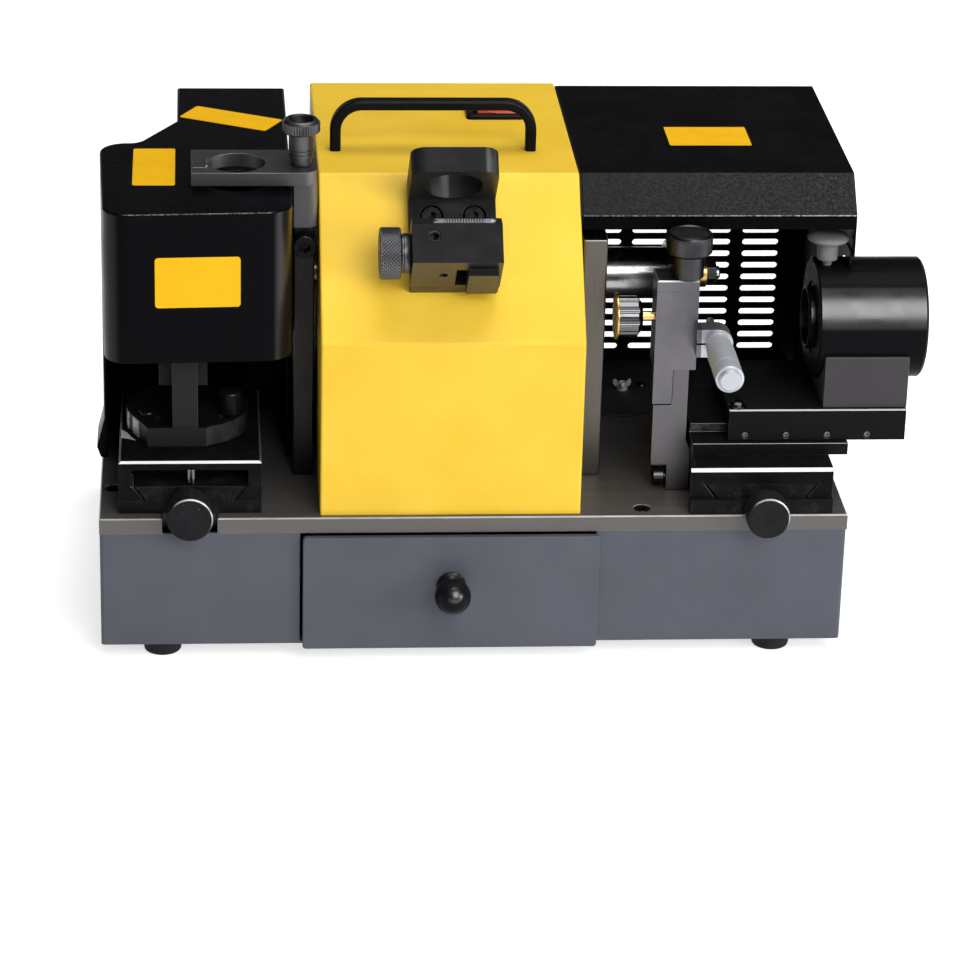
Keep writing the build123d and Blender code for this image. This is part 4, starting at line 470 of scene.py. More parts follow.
LOOK = {
    # Paint
    "yellow": powder_coat(
        "yellow_coat", (0.88, 0.56, 0.036), light=(0.91, 0.59, 0.046), dark=(0.85, 0.54, 0.031),
        grain=1.1, depth=0.05, roughness=0.42, specular=0.35,
    ),
    "base": powder_coat(
        "base_coat", (0.084, 0.091, 0.111), light=(0.090, 0.097, 0.118), dark=(0.078, 0.085, 0.104),
        grain=0.8, depth=0.02, roughness=0.42, specular=0.25,
    ),
    # Hood: its lip and fold colours are painted highlights
    "hood": hood_coat("hood_coat", (0.0020, 0.0020, 0.0028), lip=0.034, edge_highlight=0.45, roughness=0.40),
    "guard": wrinkle_coat(
        "guard_coat", (0.0028, 0.0028, 0.0038), speck=(0.006, 0.006, 0.008), grain=1.7, depth=0.03,
        roughness=0.30, base=0.03, lobes=[RIGHT_CORNER, LEFT_CORNER], edge_highlight=0.20,
    ),
    "sheet": wrinkle_coat(
        "sheet_coat", (0.004, 0.004, 0.005), speck=(0.010, 0.010, 0.012), grain=1.2, depth=0.03,
        roughness=0.40, base=0.05,
    ),
    "tray": wrinkle_coat(
        "tray_coat", (0.024, 0.026, 0.031), speck=(0.040, 0.042, 0.048), grain=1.2, depth=0.02,
        roughness=0.40, base=0.1, edge_highlight=0.30,
    ),
    # Ground and grained steel
    # Bed: front faces a little darker, and the notch at its front near black: painted shade
    "bed": ground_steel(
        "bed_steel", (0.115, 0.108, 0.103), bright=(0.50, 0.49, 0.47), along="x", roughness=0.38,
        metallic=0.35, front=0.9, recess=((-210.6, -176.4), (-113.4, -103.4)),
    ),
    "left_plate": ground_steel(
        "left_plate_steel", (0.020, 0.019, 0.018), bright=(0.12, 0.11, 0.10), along="z", roughness=0.36,
        edge=0.6,
    ),
    "right_plate": ground_steel(
        "right_plate_steel", (0.105, 0.097, 0.085), bright=(0.36, 0.34, 0.30), along="z", roughness=0.34,
    ),
    "stand": ground_steel(
        "stand_steel", (0.116, 0.111, 0.118), bright=(0.40, 0.40, 0.41), along=None, roughness=0.38,
    ),
    "arm": ground_steel(
        "arm_steel", (0.070, 0.069, 0.070), bright=(0.30, 0.30, 0.30), along="x", roughness=0.42,
        metallic=0.6,
    ),
    "head": clamp_steel(
        "head_steel", (0.136, 0.131, 0.142), pale=(0.42, 0.42, 0.44), split=111.2, bright=(0.85, 0.85, 0.87),
        roughness=0.36,
    ),
    # Blackened steel
    "oxide": black_oxide(
        "oxide_steel", (0.006, 0.006, 0.0065), wear_and_sheen_colour=(0.20, 0.20, 0.21), roughness=0.34, base=0.05,
        lobes=[glint(0.2)], scratch=0.4, edge=0.7, edge_highlight=0.50,
    ),
    "saddle": black_oxide(
        "saddle_steel", (0.0045, 0.0045, 0.005), wear_and_sheen_colour=(0.20, 0.20, 0.21), roughness=0.36, base=0.04,
        lobes=[glint(0.15)], scratch=0.35, edge=0.4, edge_highlight=0.90, dust=0.016,
    ),
    "slide": black_oxide(
        "slide_steel", (0.007, 0.007, 0.0075), wear_and_sheen_colour=(0.14, 0.14, 0.15), roughness=0.44, base=0.05,
        lobes=[glint(0.1)], scratch=0.35, edge=0.3, dust=0.045,
    ),
    "oxide_slope": black_oxide(
        "oxide_slope_steel", (0.011, 0.011, 0.012), wear_and_sheen_colour=(0.30, 0.30, 0.31), roughness=0.38, base=0.10,
        lobes=[TAB_CORNER, UNDERSIDE], scratch=0.5, edge=0.0,
    ),
    # Table: front facets three times lighter: painted light
    "table": black_oxide(
        "table_steel", (0.006, 0.006, 0.0065), wear_and_sheen_colour=(0.10, 0.10, 0.105), roughness=0.42, base=0.05,
        lobes=[glint(0.2)], scratch=0.15, edge=0.3, front=3.0,
    ),
    "post": black_oxide(
        "post_steel", (0.020, 0.019, 0.019), wear_and_sheen_colour=(0.06, 0.06, 0.06), roughness=0.45, base=0.08,
        lobes=[glint(0.2)], scratch=0.12, edge=0.5,
    ),
    "pedestal": black_oxide(
        "pedestal_steel", (0.052, 0.049, 0.053), wear_and_sheen_colour=(0.18, 0.18, 0.18), roughness=0.50, base=0.12,
        lobes=[glint(0.2)], scratch=0.12, edge=0.4,
    ),
    "screw": black_oxide(
        "screw_steel", (0.006, 0.006, 0.0065), wear_and_sheen_colour=(0.16, 0.16, 0.16), roughness=0.22, base=0.06,
        lobes=[glint(0.6)], scratch=0.2, edge=0.0,
    ),
    "feed_knob": rimmed_knob(
        "feed_knob_steel", (0.011, 0.011, 0.0125), rim=0.75, roughness=0.36, base=0.06, lobes=[glint(0.3)],
    ),
    # Turned and plated metal
    "nickel": turned_metal("black_nickel", (0.050, 0.050, 0.055), roughness=0.30),
    "knurl": turned_metal("knurled_steel", (0.10, 0.10, 0.105), roughness=0.38),
    "pin": turned_metal("pin_steel", (0.14, 0.14, 0.145), roughness=0.20),
    "bright": turned_metal("bright_steel", (0.55, 0.55, 0.56), roughness=0.25),
    "brass": turned_metal("brass_metal", (0.62, 0.40, 0.12), roughness=0.26),
    "cast": turned_metal("cast_aluminium", (0.30, 0.31, 0.32), roughness=0.55),
    "zinc": turned_metal("zinc_plate", (0.75, 0.75, 0.77), roughness=0.38, metallic=0.3),
    "index": turned_metal("index_plate", (0.25, 0.25, 0.26), roughness=0.45, metallic=0.3),
    # Arbors: the left one, under the guard, darker than the right one: painted shade
    "arbor": two_metals(
        "arbor_chrome", (0.045, 0.045, 0.048), second=(0.33, 0.33, 0.34), split=0.0, roughness=0.22,
    ),
    "lock": two_metals(
        "lock_chrome", (0.12, 0.12, 0.125), second=(0.62, 0.45, 0.16), split=77.8, roughness=0.14,
    ),
    # Thimble: a thin painted highlight at the start of its bevel, and a darker end
    "thimble": ringed_metal("thimble_metal", (0.56, 0.59, 0.64), roughness=0.42, rings=[
        (-135.0, -134.0, (0.80, 0.82, 0.86)),
        (-152.0, -148.1, (0.46, 0.47, 0.52)),
    ]),
    "scale": scale_plate(
        "scale_metal", (0.55, 0.57, 0.60), dark=(0.05, 0.05, 0.055), pitch=1.6, span=(-44.5, -20.5),
        roughness=0.34,
    ),
    # Lacquer, plastic, rubber, film and grit
    "sleeve": plastic(
        "sleeve_lacquer", (0.0045, 0.0045, 0.0055), roughness=0.29, base=0.025,
        lobes=[SLEEVE_SHINE, SLEEVE_END], grain=0.5, depth=0.003,
    ),
    "ball": plastic(
        "ball_plastic", (0.007, 0.007, 0.009), roughness=0.24, base=0.04, lobes=[glint(0.7)],
        grain=2.0, depth=0.002,
    ),
    "black_plastic": plastic(
        "black_plastic", (0.0055, 0.0055, 0.006), roughness=0.38, base=0.04, lobes=[glint(0.10)],
    ),
    "grey_plastic": plastic("grey_plastic", (0.165, 0.165, 0.17), roughness=0.5, base=0.3),
    "red_plastic": plastic(
        "red_plastic", (0.60, 0.085, 0.040), roughness=0.25, base=0.4, grain=2.0, depth=0.002,
    ),
    "rubber": plastic(
        "foot_rubber", (0.010, 0.010, 0.010), roughness=0.75, base=0.25, grain=1.2, depth=0.03,
    ),
    "sticker": sticker_film("sticker_film", (0.95, 0.51, 0.004), roughness=0.42),
    "grit": abrasive(
        "wheel_grit", (0.20, 0.20, 0.21), dark=(0.10, 0.10, 0.105), sparkle=(0.42, 0.42, 0.43),
    ),
}

# Material and edge rounding, in millimetres, of every piece that keeps its own shape
FINISH = {
    "base_pan": ("base", 0.8), "drawer_front": ("base", 0.5), "drawer_tray": ("base", 0.3),
    "drawer_runners": ("bright", 0.3), "rubber_feet": ("rubber", 0.4), "bed_plate": ("bed", 0.4),
    "motor_housing": ("yellow", 0.5), "left_bearing_plate": ("left_plate", 0.5),
    "right_bearing_plate": ("right_plate", 0.5), "spindle_bearings": ("bright", 0.4),
    "motor_casing": ("cast", 1.0), "motor_rotor": ("cast", 0.5), "spindle_shaft": ("bright", 0.3),
    "wheel_arbors": ("arbor", 0.5), "right_wheel": ("grit", 0.4), "left_wheel": ("grit", 0.4),
    "wheel_washers": ("brass", 0.3), "wheel_nuts": ("screw", 0.4), "right_hood": ("hood", 0.7),
    "vent_panel": ("sheet", 0.2), "left_guard": ("guard", 0.6), "left_rear_panel": ("sheet", 0.3),
    "carry_handle": ("black_plastic", 0.3), "switch_bezel": ("black_plastic", 0.3),
    "switch_rocker": ("red_plastic", 0.4), "power_inlet": ("black_plastic", 0.4),
    "setting_bracket": ("oxide_slope", 0.5), "stop_block": ("oxide_slope", 0.4),
    "setting_jaw": ("oxide_slope", 0.4), "frame_screws": ("screw", 0.3), "left_slide_base": ("slide", 0.4),
    "left_saddle": ("saddle", 0.4), "swivel_table": ("table", 0.5), "swivel_screws": ("screw", 0.3),
    "left_feed_knob": ("feed_knob", 0.4), "rest_post": ("post", 0.4), "tooth_rest": ("post", 0.4),
    "arm_bracket": ("arm", 0.5), "chuck_seat_arm": ("arm", 0.5), "right_slide_base": ("slide", 0.4),
    "right_saddle": ("saddle", 0.4), "right_feed_knob": ("feed_knob", 0.4), "cross_guide": ("oxide", 0.4),
    "cross_carriage": ("oxide", 0.5), "sleeve_pedestal": ("pedestal", 0.5), "tool_sleeve": ("sleeve", 0.6),
    "chuck_socket": ("sleeve", 0.4), "sleeve_clamp_knob": ("grey_plastic", 0.4),
    "gauge_stand": ("stand", 0.4), "gauge_head": ("head", 0.5), "gauge_lock_knob": ("lock", 0.3),
    "gauge_lock_ring": ("brass", 0.3), "micrometer_barrel": ("thimble", 0.3),
    "micrometer_spindle": ("bright", 0.2), "micrometer_thimble": ("thimble", 0.3),
    "dust_tray": ("tray", 0.3), "drawer_knob": ("ball", 0.3),
}


def finish_node(name):
    """Give a piece its material and soften its edges."""
    look, edge = FINISH[name]
    piece = nodes[name]
    piece.data.materials.clear()
    piece.data.materials.append(LOOK[look])
    weld = piece.modifiers.new("weld", "WELD")
    weld.merge_threshold = 0.00001
    flat = piece.modifiers.new("flat", "DECIMATE")
    flat.decimate_type = "DISSOLVE"
    flat.angle_limit = radians(0.6)
    bevel = piece.modifiers.new("edge", "BEVEL")
    bevel.width = edge / 1000
    bevel.segments = 2
    bevel.limit_method = "ANGLE"
    bevel.angle_limit = SHARP_ANGLE
    smooth = piece.modifiers.new("smooth", "WEIGHTED_NORMAL")
    smooth.weight = 80


for node in FINISH:
    finish_node(node)

# Small pieces


class Seat:
    """Where a small piece sits: a point from the bed datum, a direction across and a direction out."""

    def __init__(self, origin, across, out):
        self.origin = Vector(origin)
        self.across = Vector(across).normalized()
        self.out = Vector(out).normalized()
        self.up = self.out.cross(self.across)

    def spot(self, x, y, z):
        """Point from the bed datum, in millimetres, of a point given on the seat."""
        return self.origin + self.across * x + self.up * y + self.out * z

    def at(self, x, y, z):
        """Place in the object's frame, in metres, of a point given on the seat."""
        return at(*self.spot(x, y, z))


def skin(mesh, loops):
    """Closed skin over a row of loops with the same count of corners."""
    count = len(loops[0])
    for below, above in zip(loops, loops[1:]):
        for step in range(count):
            after = (step + 1) % count
            mesh.faces.new((below[step], below[after], above[after], above[step]))
    mesh.faces.new(loops[0])
    mesh.faces.new(loops[-1])


def turn(mesh, seat, rings, segments=48):
    """Solid over rings round the out direction: each is a height and a radius or a function of angle."""
    angles = [2 * pi * step / segments for step in range(segments)]
    loops = []
    for height, radius in rings:
        reaches = [radius(angle) if callable(radius) else radius for angle in angles]
        loops.append([
            mesh.verts.new(seat.at(reach * cos(angle), reach * sin(angle), height))
            for reach, angle in zip(reaches, angles)
        ])
    skin(mesh, loops)


def prism(mesh, seat, points, low, high, inset=0.0):
    """Solid over an outline between two heights, its upper edge drawn in by an inset."""
    middle = Vector((sum(x for x, y in points), sum(y for x, y in points))) / len(points)
    levels = [(low, 0.0), (high - inset, 0.0), (high, inset)] if inset else [(low, 0.0), (high, 0.0)]
    loops = []
    for height, shrink in levels:
        loop = []
        for x, y in points:
            way = Vector((x, y)) - middle
            near = middle + way * max(1 - shrink / way.length, 0.1)
            loop.append(mesh.verts.new(seat.at(near.x, near.y, height)))
        loops.append(loop)
    skin(mesh, loops)


def rounded(width, height, corner):
    """Outline of a rectangle with rounded corners."""
    steps = 5
    points = []
    for quarter, (side, rise) in enumerate(((1, 1), (-1, 1), (-1, -1), (1, -1))):
        for step in range(steps + 1):
            angle = radians(90 * (quarter + step / steps))
            points.append((
                side * (width / 2 - corner) + corner * cos(angle),
                rise * (height / 2 - corner) + corner * sin(angle),
            ))
    return points


def hexagon(flat):
    """Radius of a hexagonal socket at an angle, from the distance of its sides to the middle."""
    return lambda angle: flat / cos((angle % radians(60)) - radians(30))


def ridge(value):
    """Nought at whole numbers and one half way between them."""
    return 1 - abs(2 * (value - floor(value)) - 1)


def straight_knurl(radius, teeth, depth):
    """Radius of a band with straight knurling."""
    return lambda angle: radius - depth * (1 - ridge(teeth * angle / (2 * pi)))


def crossed_knurl(low, high, radius, teeth, depth):
    """Rings of a band with crossed knurling, four to a tooth."""
    pitch = 2 * pi * radius / teeth
    steps = round(4 * (high - low) / pitch)

    def reach(height):
        shift = (height - low) / pitch
        return lambda angle: radius - depth * (1 - min(
            ridge(teeth * angle / (2 * pi) + shift),
            ridge(teeth * angle / (2 * pi) - shift),
        ))

    heights = [low + (high - low) * step / steps for step in range(steps + 1)]
    return [(height, reach(height)) for height in heights]


def add_piece(name, mesh, look, body, slot, *hidden):
    """Make an object of a mesh, ride it on a body, and hide the nodes that it stands for."""
    bmesh.ops.recalc_face_normals(mesh, faces=mesh.faces)
    data = bpy.data.meshes.new(name)
    mesh.to_mesh(data)
    mesh.free()
    data.shade_smooth()
    data.set_sharp_from_angle(angle=SHARP_ANGLE)
    data.materials.append(LOOK[look])
    item = bpy.data.objects.new(name, data)
    bpy.context.scene.collection.objects.link(item)
    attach(item, body)
    if hidden:
        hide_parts(*hidden)


# Knurled knobs in place of the plain ones, each with its screw: rings are a height and a radius
knob = bmesh.new()
turn(knob, Seat(on_slope(-41.0, 46.5, 27.5), SLOPE_OFF, -X), [
    (-44, 2.4), (-43.4, 3), (0.4, 3), (0.4, 11.3), (0.8, 11.6), (4.2, 12), (4.6, 11.5), (5.4, 11.5), (6, 12),
    (6, 14.3), (6.5, 15.0),
    *crossed_knurl(low=7, high=17.5, radius=15.5, teeth=44, depth=0.75),
    (18, 15.0), (18.5, 14.3), (18.5, 12.4), (18.1, 12.0), (18.1, 2.2), (17.2, 1.2),
], segments=264)
add_piece("setting_knob_knurled", knob, "knurl", "jaw_knob", "dark_knob", "setting_knob")

knob = bmesh.new()
arm_band = straight_knurl(radius=11.3, teeth=44, depth=0.6)
turn(knob, Seat((-104, 70, 0), X, Z), [
    (171, 2.4), (171.6, 3), (198.9, 3), (198.9, 6.0), (199.2, 6.3), (203.2, 6.3), (203.4, 7.1), (203.8, 7.4),
    (205.6, 7.4), (205.9, 7.0), (206.5, 7.0), (206.8, 7.4), (208.2, 7.4), (208.5, 7.0), (209.1, 7.0),
    (209.4, 7.4), (218.7, 7.4), (218.7, 10.2), (219.4, 10.9), (219.6, arm_band), (225.0, arm_band),
    (225.3, 11.0), (226.4, 10.2), (227, 9.3), (227, 7.9), (226.6, 7.5), (223, 7.3), (223, 1.4), (222.2, 0.8),
], segments=264)
add_piece("arm_height_knob_knurled", knob, "knurl", "arm_knob", "dark_knob", "arm_height_knob")

knob = bmesh.new()
turn(knob, Seat((126.8, 43.4, 0), X, Z), [
    (62, 1.5), (62.5, 2), (137.4, 2), (137.4, 8.9), (137.8, 9.2), (150.9, 9.2), (151.5, 8.8), (151.5, 10.8),
    (152.4, 12.4), (153.4, 13.4),
    *crossed_knurl(low=153.7, high=163.6, radius=13.8, teeth=72, depth=0.35),
    (164.0, 13.5), (164.8, 13.0), (165.5, 12.2), (165.5, 11.4), (164.9, 10.6), (164.8, 1.0),
], segments=288)
add_piece("gauge_height_knob_knurled", knob, "nickel", "gauge_knob", "dark_knob", "gauge_height_knob")

# Gib screws, sunk into the carriage's front
gib_socket = hexagon(1.15)
screws = bmesh.new()
for x in (164.4, 189.4, 214.5, 238.9):
    turn(screws, Seat((x, CARRIAGE_FRONT, 39.5), X, -Y), [
        (-7.4, 1.7), (-6.8, 2.25), (-1.3, 2.25), (-0.7, 1.7), (-0.7, gib_socket), (-2.6, gib_socket),
    ])
add_piece("gib_screws", screws, "pin", "carriage", "bright_steel")

# Socket-head screw in the left side of the gauge stand's foot
stand_socket = hexagon(2.6)
screws = bmesh.new()
turn(screws, Seat((118.4, 44, 7.3), Y, -X), [
    (0, 3.0), (1.4, 3.0), (1.4, 5.6), (1.8, 6.0), (7.4, 6.0), (8.0, 5.4), (8.0, stand_socket),
    (4.6, stand_socket),
])
add_piece("stand_screw", screws, "screw", "right_saddle", "black_oxide")

# Grub screws, sunk into the arbors
GRUB_LEAN = radians(33)
grub_way = Vector((0, -sin(GRUB_LEAN), cos(GRUB_LEAN)))
grub_socket = hexagon(1.6)
screws = bmesh.new()
for x in (92.7, -119.0):
    turn(screws, Seat(Vector((x, SPINDLE_Y, SPINDLE_Z)) + grub_way * ARBOR_RADIUS, X, grub_way), [
        (-5.4, 2.5), (-5.0, 3.1), (-1.6, 3.1), (-1.2, 2.8), (-1.2, grub_socket), (-3.4, grub_socket),
    ])
add_piece("arbor_grub_screws", screws, "screw", "spindle", "black_oxide")

# Bush in the stop block's face
bush = bmesh.new()
turn(bush, Seat(on_slope(-28.0, 50.2, 45.0), X, SLOPE_OFF), [
    (-7.6, 3.4), (-7.2, 3.75), (-0.4, 3.75), (0, 3.4), (0, 2.9), (-0.6, 2.35), (-6.0, 2.3),
])
add_piece("stop_bush", bush, "nickel", "frame", "black_oxide")

# Low round screws of the housing's and the hood's back, the hood's side, the guard's back and the dust tray
PANEL_SCREWS = [
    *(((x, HOUSING_BACK, z), Y) for x in (-84, 54) for z in (14, 174)),
    *(((x, HOOD_BACK, 182), Y) for x in (75, 146, 217)),
    *(((HOOD_RIGHT, y, 12), X) for y in (150, 235)),
    *(((x, GUARD_BACK, 14), Y) for x in (-160, -125)),
    *(((x, y, TRAY_TOP), Z) for x, y in ((121.4, 203.3), (171, 208))),
]
panel_socket = hexagon(1.1)
screws = bmesh.new()
for place, facing in PANEL_SCREWS:
    turn(screws, Seat(place, X if facing == Z else Z, facing), [
        (0, 3.3), (0.5, 3.5), (1.3, 3.1), (1.9, 2.2), (1.9, panel_socket), (0.8, panel_socket),
    ], segments=36)
add_piece("panel_screws", screws, "screw", "frame", "black_oxide")

# Screw with a washer on the carriage's top
washer_socket = hexagon(1.3)
clip = bmesh.new()
turn(clip, Seat((159.8, 35.7, CARRIAGE_TOP), X, Z), [
    (0, 5.2), (0.8, 5.4), (1.2, 5.0), (1.2, 3.2), (3.4, 3.2), (3.9, 2.7), (3.9, washer_socket),
    (1.9, washer_socket),
])
add_piece("carriage_washer_screw", clip, "pin", "carriage", "bright_steel")

# Wing nut with three blades on the dust tray
WING_NUT = Vector((108.3, 196.5, TRAY_TOP))
BLADE = [(2.2, 0.4), (5.4, 2.4), (6.2, 4.4), (5.6, 6.4), (4.2, 6.0), (2.6, 3.8)]
BLADE_THICKNESS = 1.4
wing = bmesh.new()
turn(wing, Seat(WING_NUT, X, Z), [(0, 3.6), (4.5, 3.0), (5.2, 2.4), (5.2, 1.6), (4.2, 1.4)], segments=32)
for tilt in (20, 160, 265):
    way = Vector((cos(radians(tilt)), sin(radians(tilt)), 0))
    side = way.cross(Z)
    prism(wing, Seat(WING_NUT - side * BLADE_THICKNESS / 2, way, side), BLADE, 0, BLADE_THICKNESS, 0.25)
add_piece("tray_wing_nut", wing, "zinc", "frame", "bright_steel")

# Rubber lip inside the hood's side panel, close over the sleeve at the end of its travel
LIP_INSIDE = 36.9
LIP_OUTSIDE = 45.0
LIP_SHIFT = 2.0
LIP_FRONT = 61.5
lip_angles = [radians(step) for step in range(0, 91, 6)]
lip_outline = [
    *(
        (SLEEVE_Y + LIP_SHIFT + LIP_INSIDE * cos(angle), SLEEVE_Z + LIP_INSIDE * sin(angle))
        for angle in lip_angles
    ),
    (LIP_FRONT, SLEEVE_Z + LIP_INSIDE),
    (LIP_FRONT, SLEEVE_Z + LIP_OUTSIDE),
    *(
        (SLEEVE_Y + LIP_OUTSIDE * cos(angle), SLEEVE_Z + LIP_OUTSIDE * sin(angle))
        for angle in reversed(lip_angles)
    ),
]
lip = bmesh.new()
prism(lip, Seat((226.9, 0, 0), Y, X), lip_outline, 0, 1.15)
add_piece("hood_lip", lip, "black_plastic", "frame", "rubber")

# Rubber strip in the gap between the housing and the hood, a little under their tops
strip = bmesh.new()
prism(strip, Seat((HOUSING_RIGHT, 0, 0), Y, X), [
    (60.2, 160.8), (60.2, 169.4), (80.4, 189.5), (249.8, 189.5),
    (249.8, 186.5), (81.6, 186.5), (63.2, 168.2), (63.2, 160.8),
], 0.02, 1.22)
add_piece("hood_strip", strip, "black_plastic", "frame", "rubber")

# Scale with a forked end on the stop block's chamfer, and its rivet
SCALE_END = 16.0
SCALE_HALF = 2.4
SCALE_THICKNESS = 0.5
scale_seat = Seat(on_slope(-10.0, 60.8, 41.7), X, SLOPE_UP + SLOPE_OFF)
scale_angles = [radians(step) for step in range(-90, 91, 15)]
scale_outline = [
    *((SCALE_END + SCALE_HALF * cos(angle), SCALE_HALF * sin(angle)) for angle in scale_angles),
    (-17.6, SCALE_HALF), (-15.2, 0.0), (-18.2, -SCALE_HALF),
]
scale = bmesh.new()
prism(scale, scale_seat, scale_outline, 0, SCALE_THICKNESS, 0.12)
turn(scale, Seat(scale_seat.spot(SCALE_END, 0, SCALE_THICKNESS), X, scale_seat.out), [
    (-0.2, 1.5), (0.3, 1.4), (0.5, 0.9), (0.5, 0.7), (0.2, 0.6),
], segments=24)
add_piece("setting_scale", scale, "scale", "frame", "bright_steel")

# Index plate on the swivel table's left facet, with two rivets
PLATE_THICKNESS = 0.7
facet = Vector((12.2, -30.0, 0)).normalized()
plate_seat = Seat(Vector((-202.1, 45.0, 40.0)) - facet * 5.6, facet, facet.cross(Z))
plate = bmesh.new()
prism(plate, plate_seat, rounded(17.8, 11, 0.8), 0.0, PLATE_THICKNESS, 0.15)
for along in (-7, 7):
    turn(plate, Seat(plate_seat.spot(along, 0, PLATE_THICKNESS), facet, plate_seat.out), [
        (-0.2, 1.4), (0.3, 1.3), (0.6, 0.8), (0.6, 0.3),
    ], segments=24)
add_piece("swivel_index_plate", plate, "index", "swivel", "bright_steel")

# Pointer to the index plate, flat on the left saddle
pointer = bmesh.new()
prism(pointer, Seat((0, 0, 33.6), X, Z), [
    (-212.0, 45.0), (-206.5, 42.8), (-203.2, 40.4), (-205.6, 44.6), (-208.4, 52.0), (-212.0, 57.0),
], 0.0, 0.34, 0.1)
add_piece("swivel_pointer", pointer, "zinc", "left_saddle", "bright_steel")

# Grooved pin at the left saddle's front
pin = bmesh.new()
turn(pin, Seat((-170.0, 13.0, 17.45), X, Z), [
    (0, 2.6), (0.4, 3.0), (2.4, 3.0), (2.7, 2.6), (3.3, 2.6), (3.6, 3.0), (10.3, 3.0), (10.7, 2.6),
])
add_piece("left_saddle_pin", pin, "pin", "left_saddle", "bright_steel")

# Clamp key across the chuck seat arm's slit, with its bright tip
KEY_Y = 73.4
key = bmesh.new()
prism(key, Seat((-164.2, KEY_Y, ARM_TOP), X, Z), rounded(8.4, 21.4, 0.8), -0.2, 0.5, 0.2)
add_piece("arm_key", key, "arm", "arm", "ground_steel")
tip = bmesh.new()
prism(tip, Seat((-160.0, KEY_Y, ARM_TOP), X, Z), rounded(1.5, 19.0, 0.5), -0.2, 1.1, 0.25)
add_piece("arm_key_tip", tip, "bright", "arm", "bright_steel")

# Blank stickers on the guard's front, top and narrow back, and on the hood: seat and outline
guard_along = Vector((110.6, 5.4, 0))
BACK_TURN = radians(-27.3)
STICKERS = [
    (Seat((-165.4, 14.89, 144.7), guard_along, guard_along.cross(Z)), rounded(50, 31.2, 2.0)),
    (Seat((-191.2, 97.5, GUARD_TOP), X, Z), rounded(25.2, 67, 1.6)),
    (Seat((-144.3, 189.6, GUARD_TOP), (cos(BACK_TURN), sin(BACK_TURN), 0), Z), rounded(59.6, 24.4, 1.6)),
    (Seat((148.9, 148.4, HOOD_TOP), X, Z), rounded(50.6, 35, 1.0)),
]
stickers = bmesh.new()
for seat, outline in STICKERS:
    prism(stickers, seat, outline, 0.02, 0.2)
add_piece("blank_stickers", stickers, "sticker", "frame", "yellow_paint")

# Stage: a pale floor, a far pale backdrop, and soft light mostly from the front

FLOOR_REACH = 30.0
WALL_REACH = 20.0
WALL_HEIGHT = 3.0


def emitting_floor(name, level, lift):
    """Pale surface that keeps shadows and shows a little brighter to the camera and in reflections."""
    material = bpy.data.materials.new(name)
    material.use_nodes = True
    tree = material.node_tree
    shader = tree.nodes["Principled BSDF"]
    shader.inputs["Base Color"].default_value = (*grey(level), 1)
    shader.inputs["Roughness"].default_value = 0.9
    shader.inputs["Specular IOR Level"].default_value = 0.0
    path = tree.nodes.new("ShaderNodeLightPath")
    seen = path.outputs["Is Camera Ray"]
    for ray in ("Is Glossy Ray", "Is Transmission Ray"):
        both = tree.nodes.new("ShaderNodeMath")
        both.operation = "MAXIMUM"
        tree.links.new(seen, both.inputs[0])
        tree.links.new(path.outputs[ray], both.inputs[1])
        seen = both.outputs[0]
    strength = tree.nodes.new("ShaderNodeMath")
    strength.operation = "MULTIPLY"
    strength.inputs[1].default_value = lift
    tree.links.new(seen, strength.inputs[0])
    tree.links.new(strength.outputs[0], shader.inputs["Emission Strength"])
    shader.inputs["Emission Color"].default_value = (1, 1, 1, 1)
    return material


def stage_mesh(name, points, faces, material):
    """Mesh that belongs to the stage and not to the object."""
    mesh = bpy.data.meshes.new(name)
    mesh.from_pydata(points, [], faces)
    mesh.materials.append(material)
    item = bpy.data.objects.new(name, mesh)
    bpy.context.scene.collection.objects.link(item)


def softbox(name, place, aim, size, power):
    """Square area light."""
    light = bpy.data.lights.new(name, "AREA")
    light.shape = "SQUARE"
    light.size = size
    light.energy = power
    lamp = bpy.data.objects.new(name, light)
    lamp.location = place
    lamp.rotation_mode = "QUATERNION"
    lamp.rotation_quaternion = (Vector(aim) - Vector(place)).to_track_quat("-Z", "Y")
    bpy.context.scene.collection.objects.link(lamp)


corners = [(-1, -1), (1, -1), (1, 1), (-1, 1)]
floor_points = [(x * FLOOR_REACH, y * FLOOR_REACH, 0.0) for x, y in corners]
stage_mesh("floor", floor_points, [(0, 1, 2, 3)], emitting_floor("floor_paper", 0.90, lift=0.64))
wall_points = [(x * WALL_REACH, y * WALL_REACH, z) for z in (0.0, WALL_HEIGHT) for x, y in corners]
wall_faces = [(side, (side + 1) % 4, (side + 1) % 4 + 4, side + 4) for side in range(4)]
stage_mesh("backdrop", wall_points, wall_faces, emitting_floor("backdrop_paper", 0.6, lift=0.75))

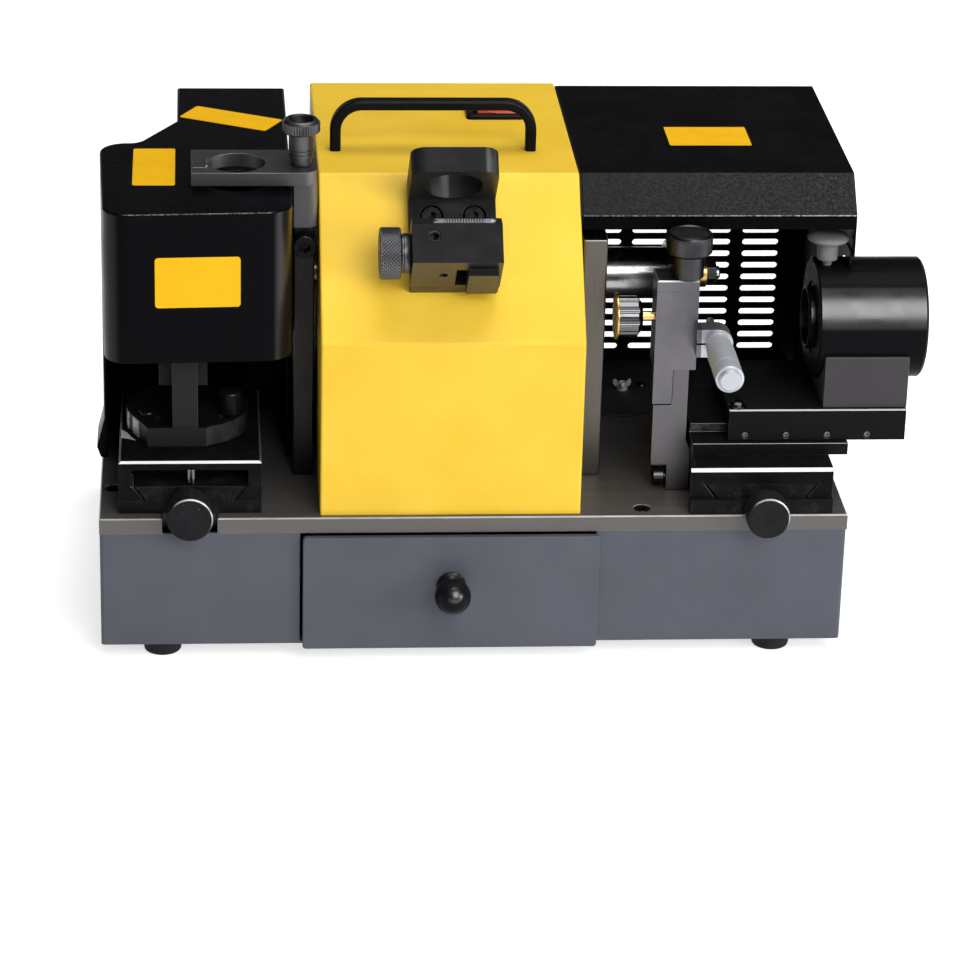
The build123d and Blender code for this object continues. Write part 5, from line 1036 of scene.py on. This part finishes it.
softbox("key", place=(0.9, -2.70, 2.05), aim=(0.0, 0.0, 0.2), size=1.9, power=72)
softbox("side", place=(2.0, -1.5, 0.6), aim=(0.1, 0.0, 0.12), size=0.9, power=24)
softbox("top", place=(0.2, 0.1, 2.3), aim=(0.0, 0.0, 0.1), size=1.4, power=27)

# World: faint light that rises towards straight above
SKY = {"From Min": 0.6, "From Max": 1.0, "To Min": 0.025, "To Max": 0.3}
world = bpy.data.worlds.new("studio")
bpy.context.scene.world = world
world.use_nodes = True
world_tree = world.node_tree
background = world_tree.nodes["Background"]
direction = world_tree.nodes.new("ShaderNodeTexCoord")
height = world_tree.nodes.new("ShaderNodeSeparateXYZ")
world_tree.links.new(direction.outputs["Generated"], height.inputs["Vector"])
sky = world_tree.nodes.new("ShaderNodeMapRange")
for socket, value in SKY.items():
    sky.inputs[socket].default_value = value
world_tree.links.new(height.outputs["Z"], sky.inputs["Value"])
background.inputs["Color"].default_value = (1, 1, 1, 1)
world_tree.links.new(sky.outputs["Result"], background.inputs["Strength"])

# Camera at the photograph's angle
azimuth = radians(CAMERA_AZIMUTH)
elevation = radians(CAMERA_ELEVATION)
roll = radians(CAMERA_ROLL)
back = Vector((sin(azimuth) * cos(elevation), -cos(azimuth) * cos(elevation), sin(elevation)))
level = Vector((cos(azimuth), sin(azimuth), 0.0))
upright = back.cross(level)
across = level * cos(roll) + upright * sin(roll)
upwards = upright * cos(roll) - level * sin(roll)
eye = at(*CAMERA_EYE)
camera_data = bpy.data.cameras.new("camera")
camera_data.lens = CAMERA_LENS
camera_data.sensor_width = SENSOR
camera_data.clip_end = 100.0
camera = bpy.data.objects.new("camera", camera_data)
camera.matrix_world = Matrix((
    (across.x, upwards.x, back.x, eye.x),
    (across.y, upwards.y, back.y, eye.y),
    (across.z, upwards.z, back.z, eye.z),
    (0.0, 0.0, 0.0, 1.0),
))
bpy.context.scene.collection.objects.link(camera)
bpy.context.scene.camera = camera
bpy.context.scene.view_settings.view_transform = "Standard"
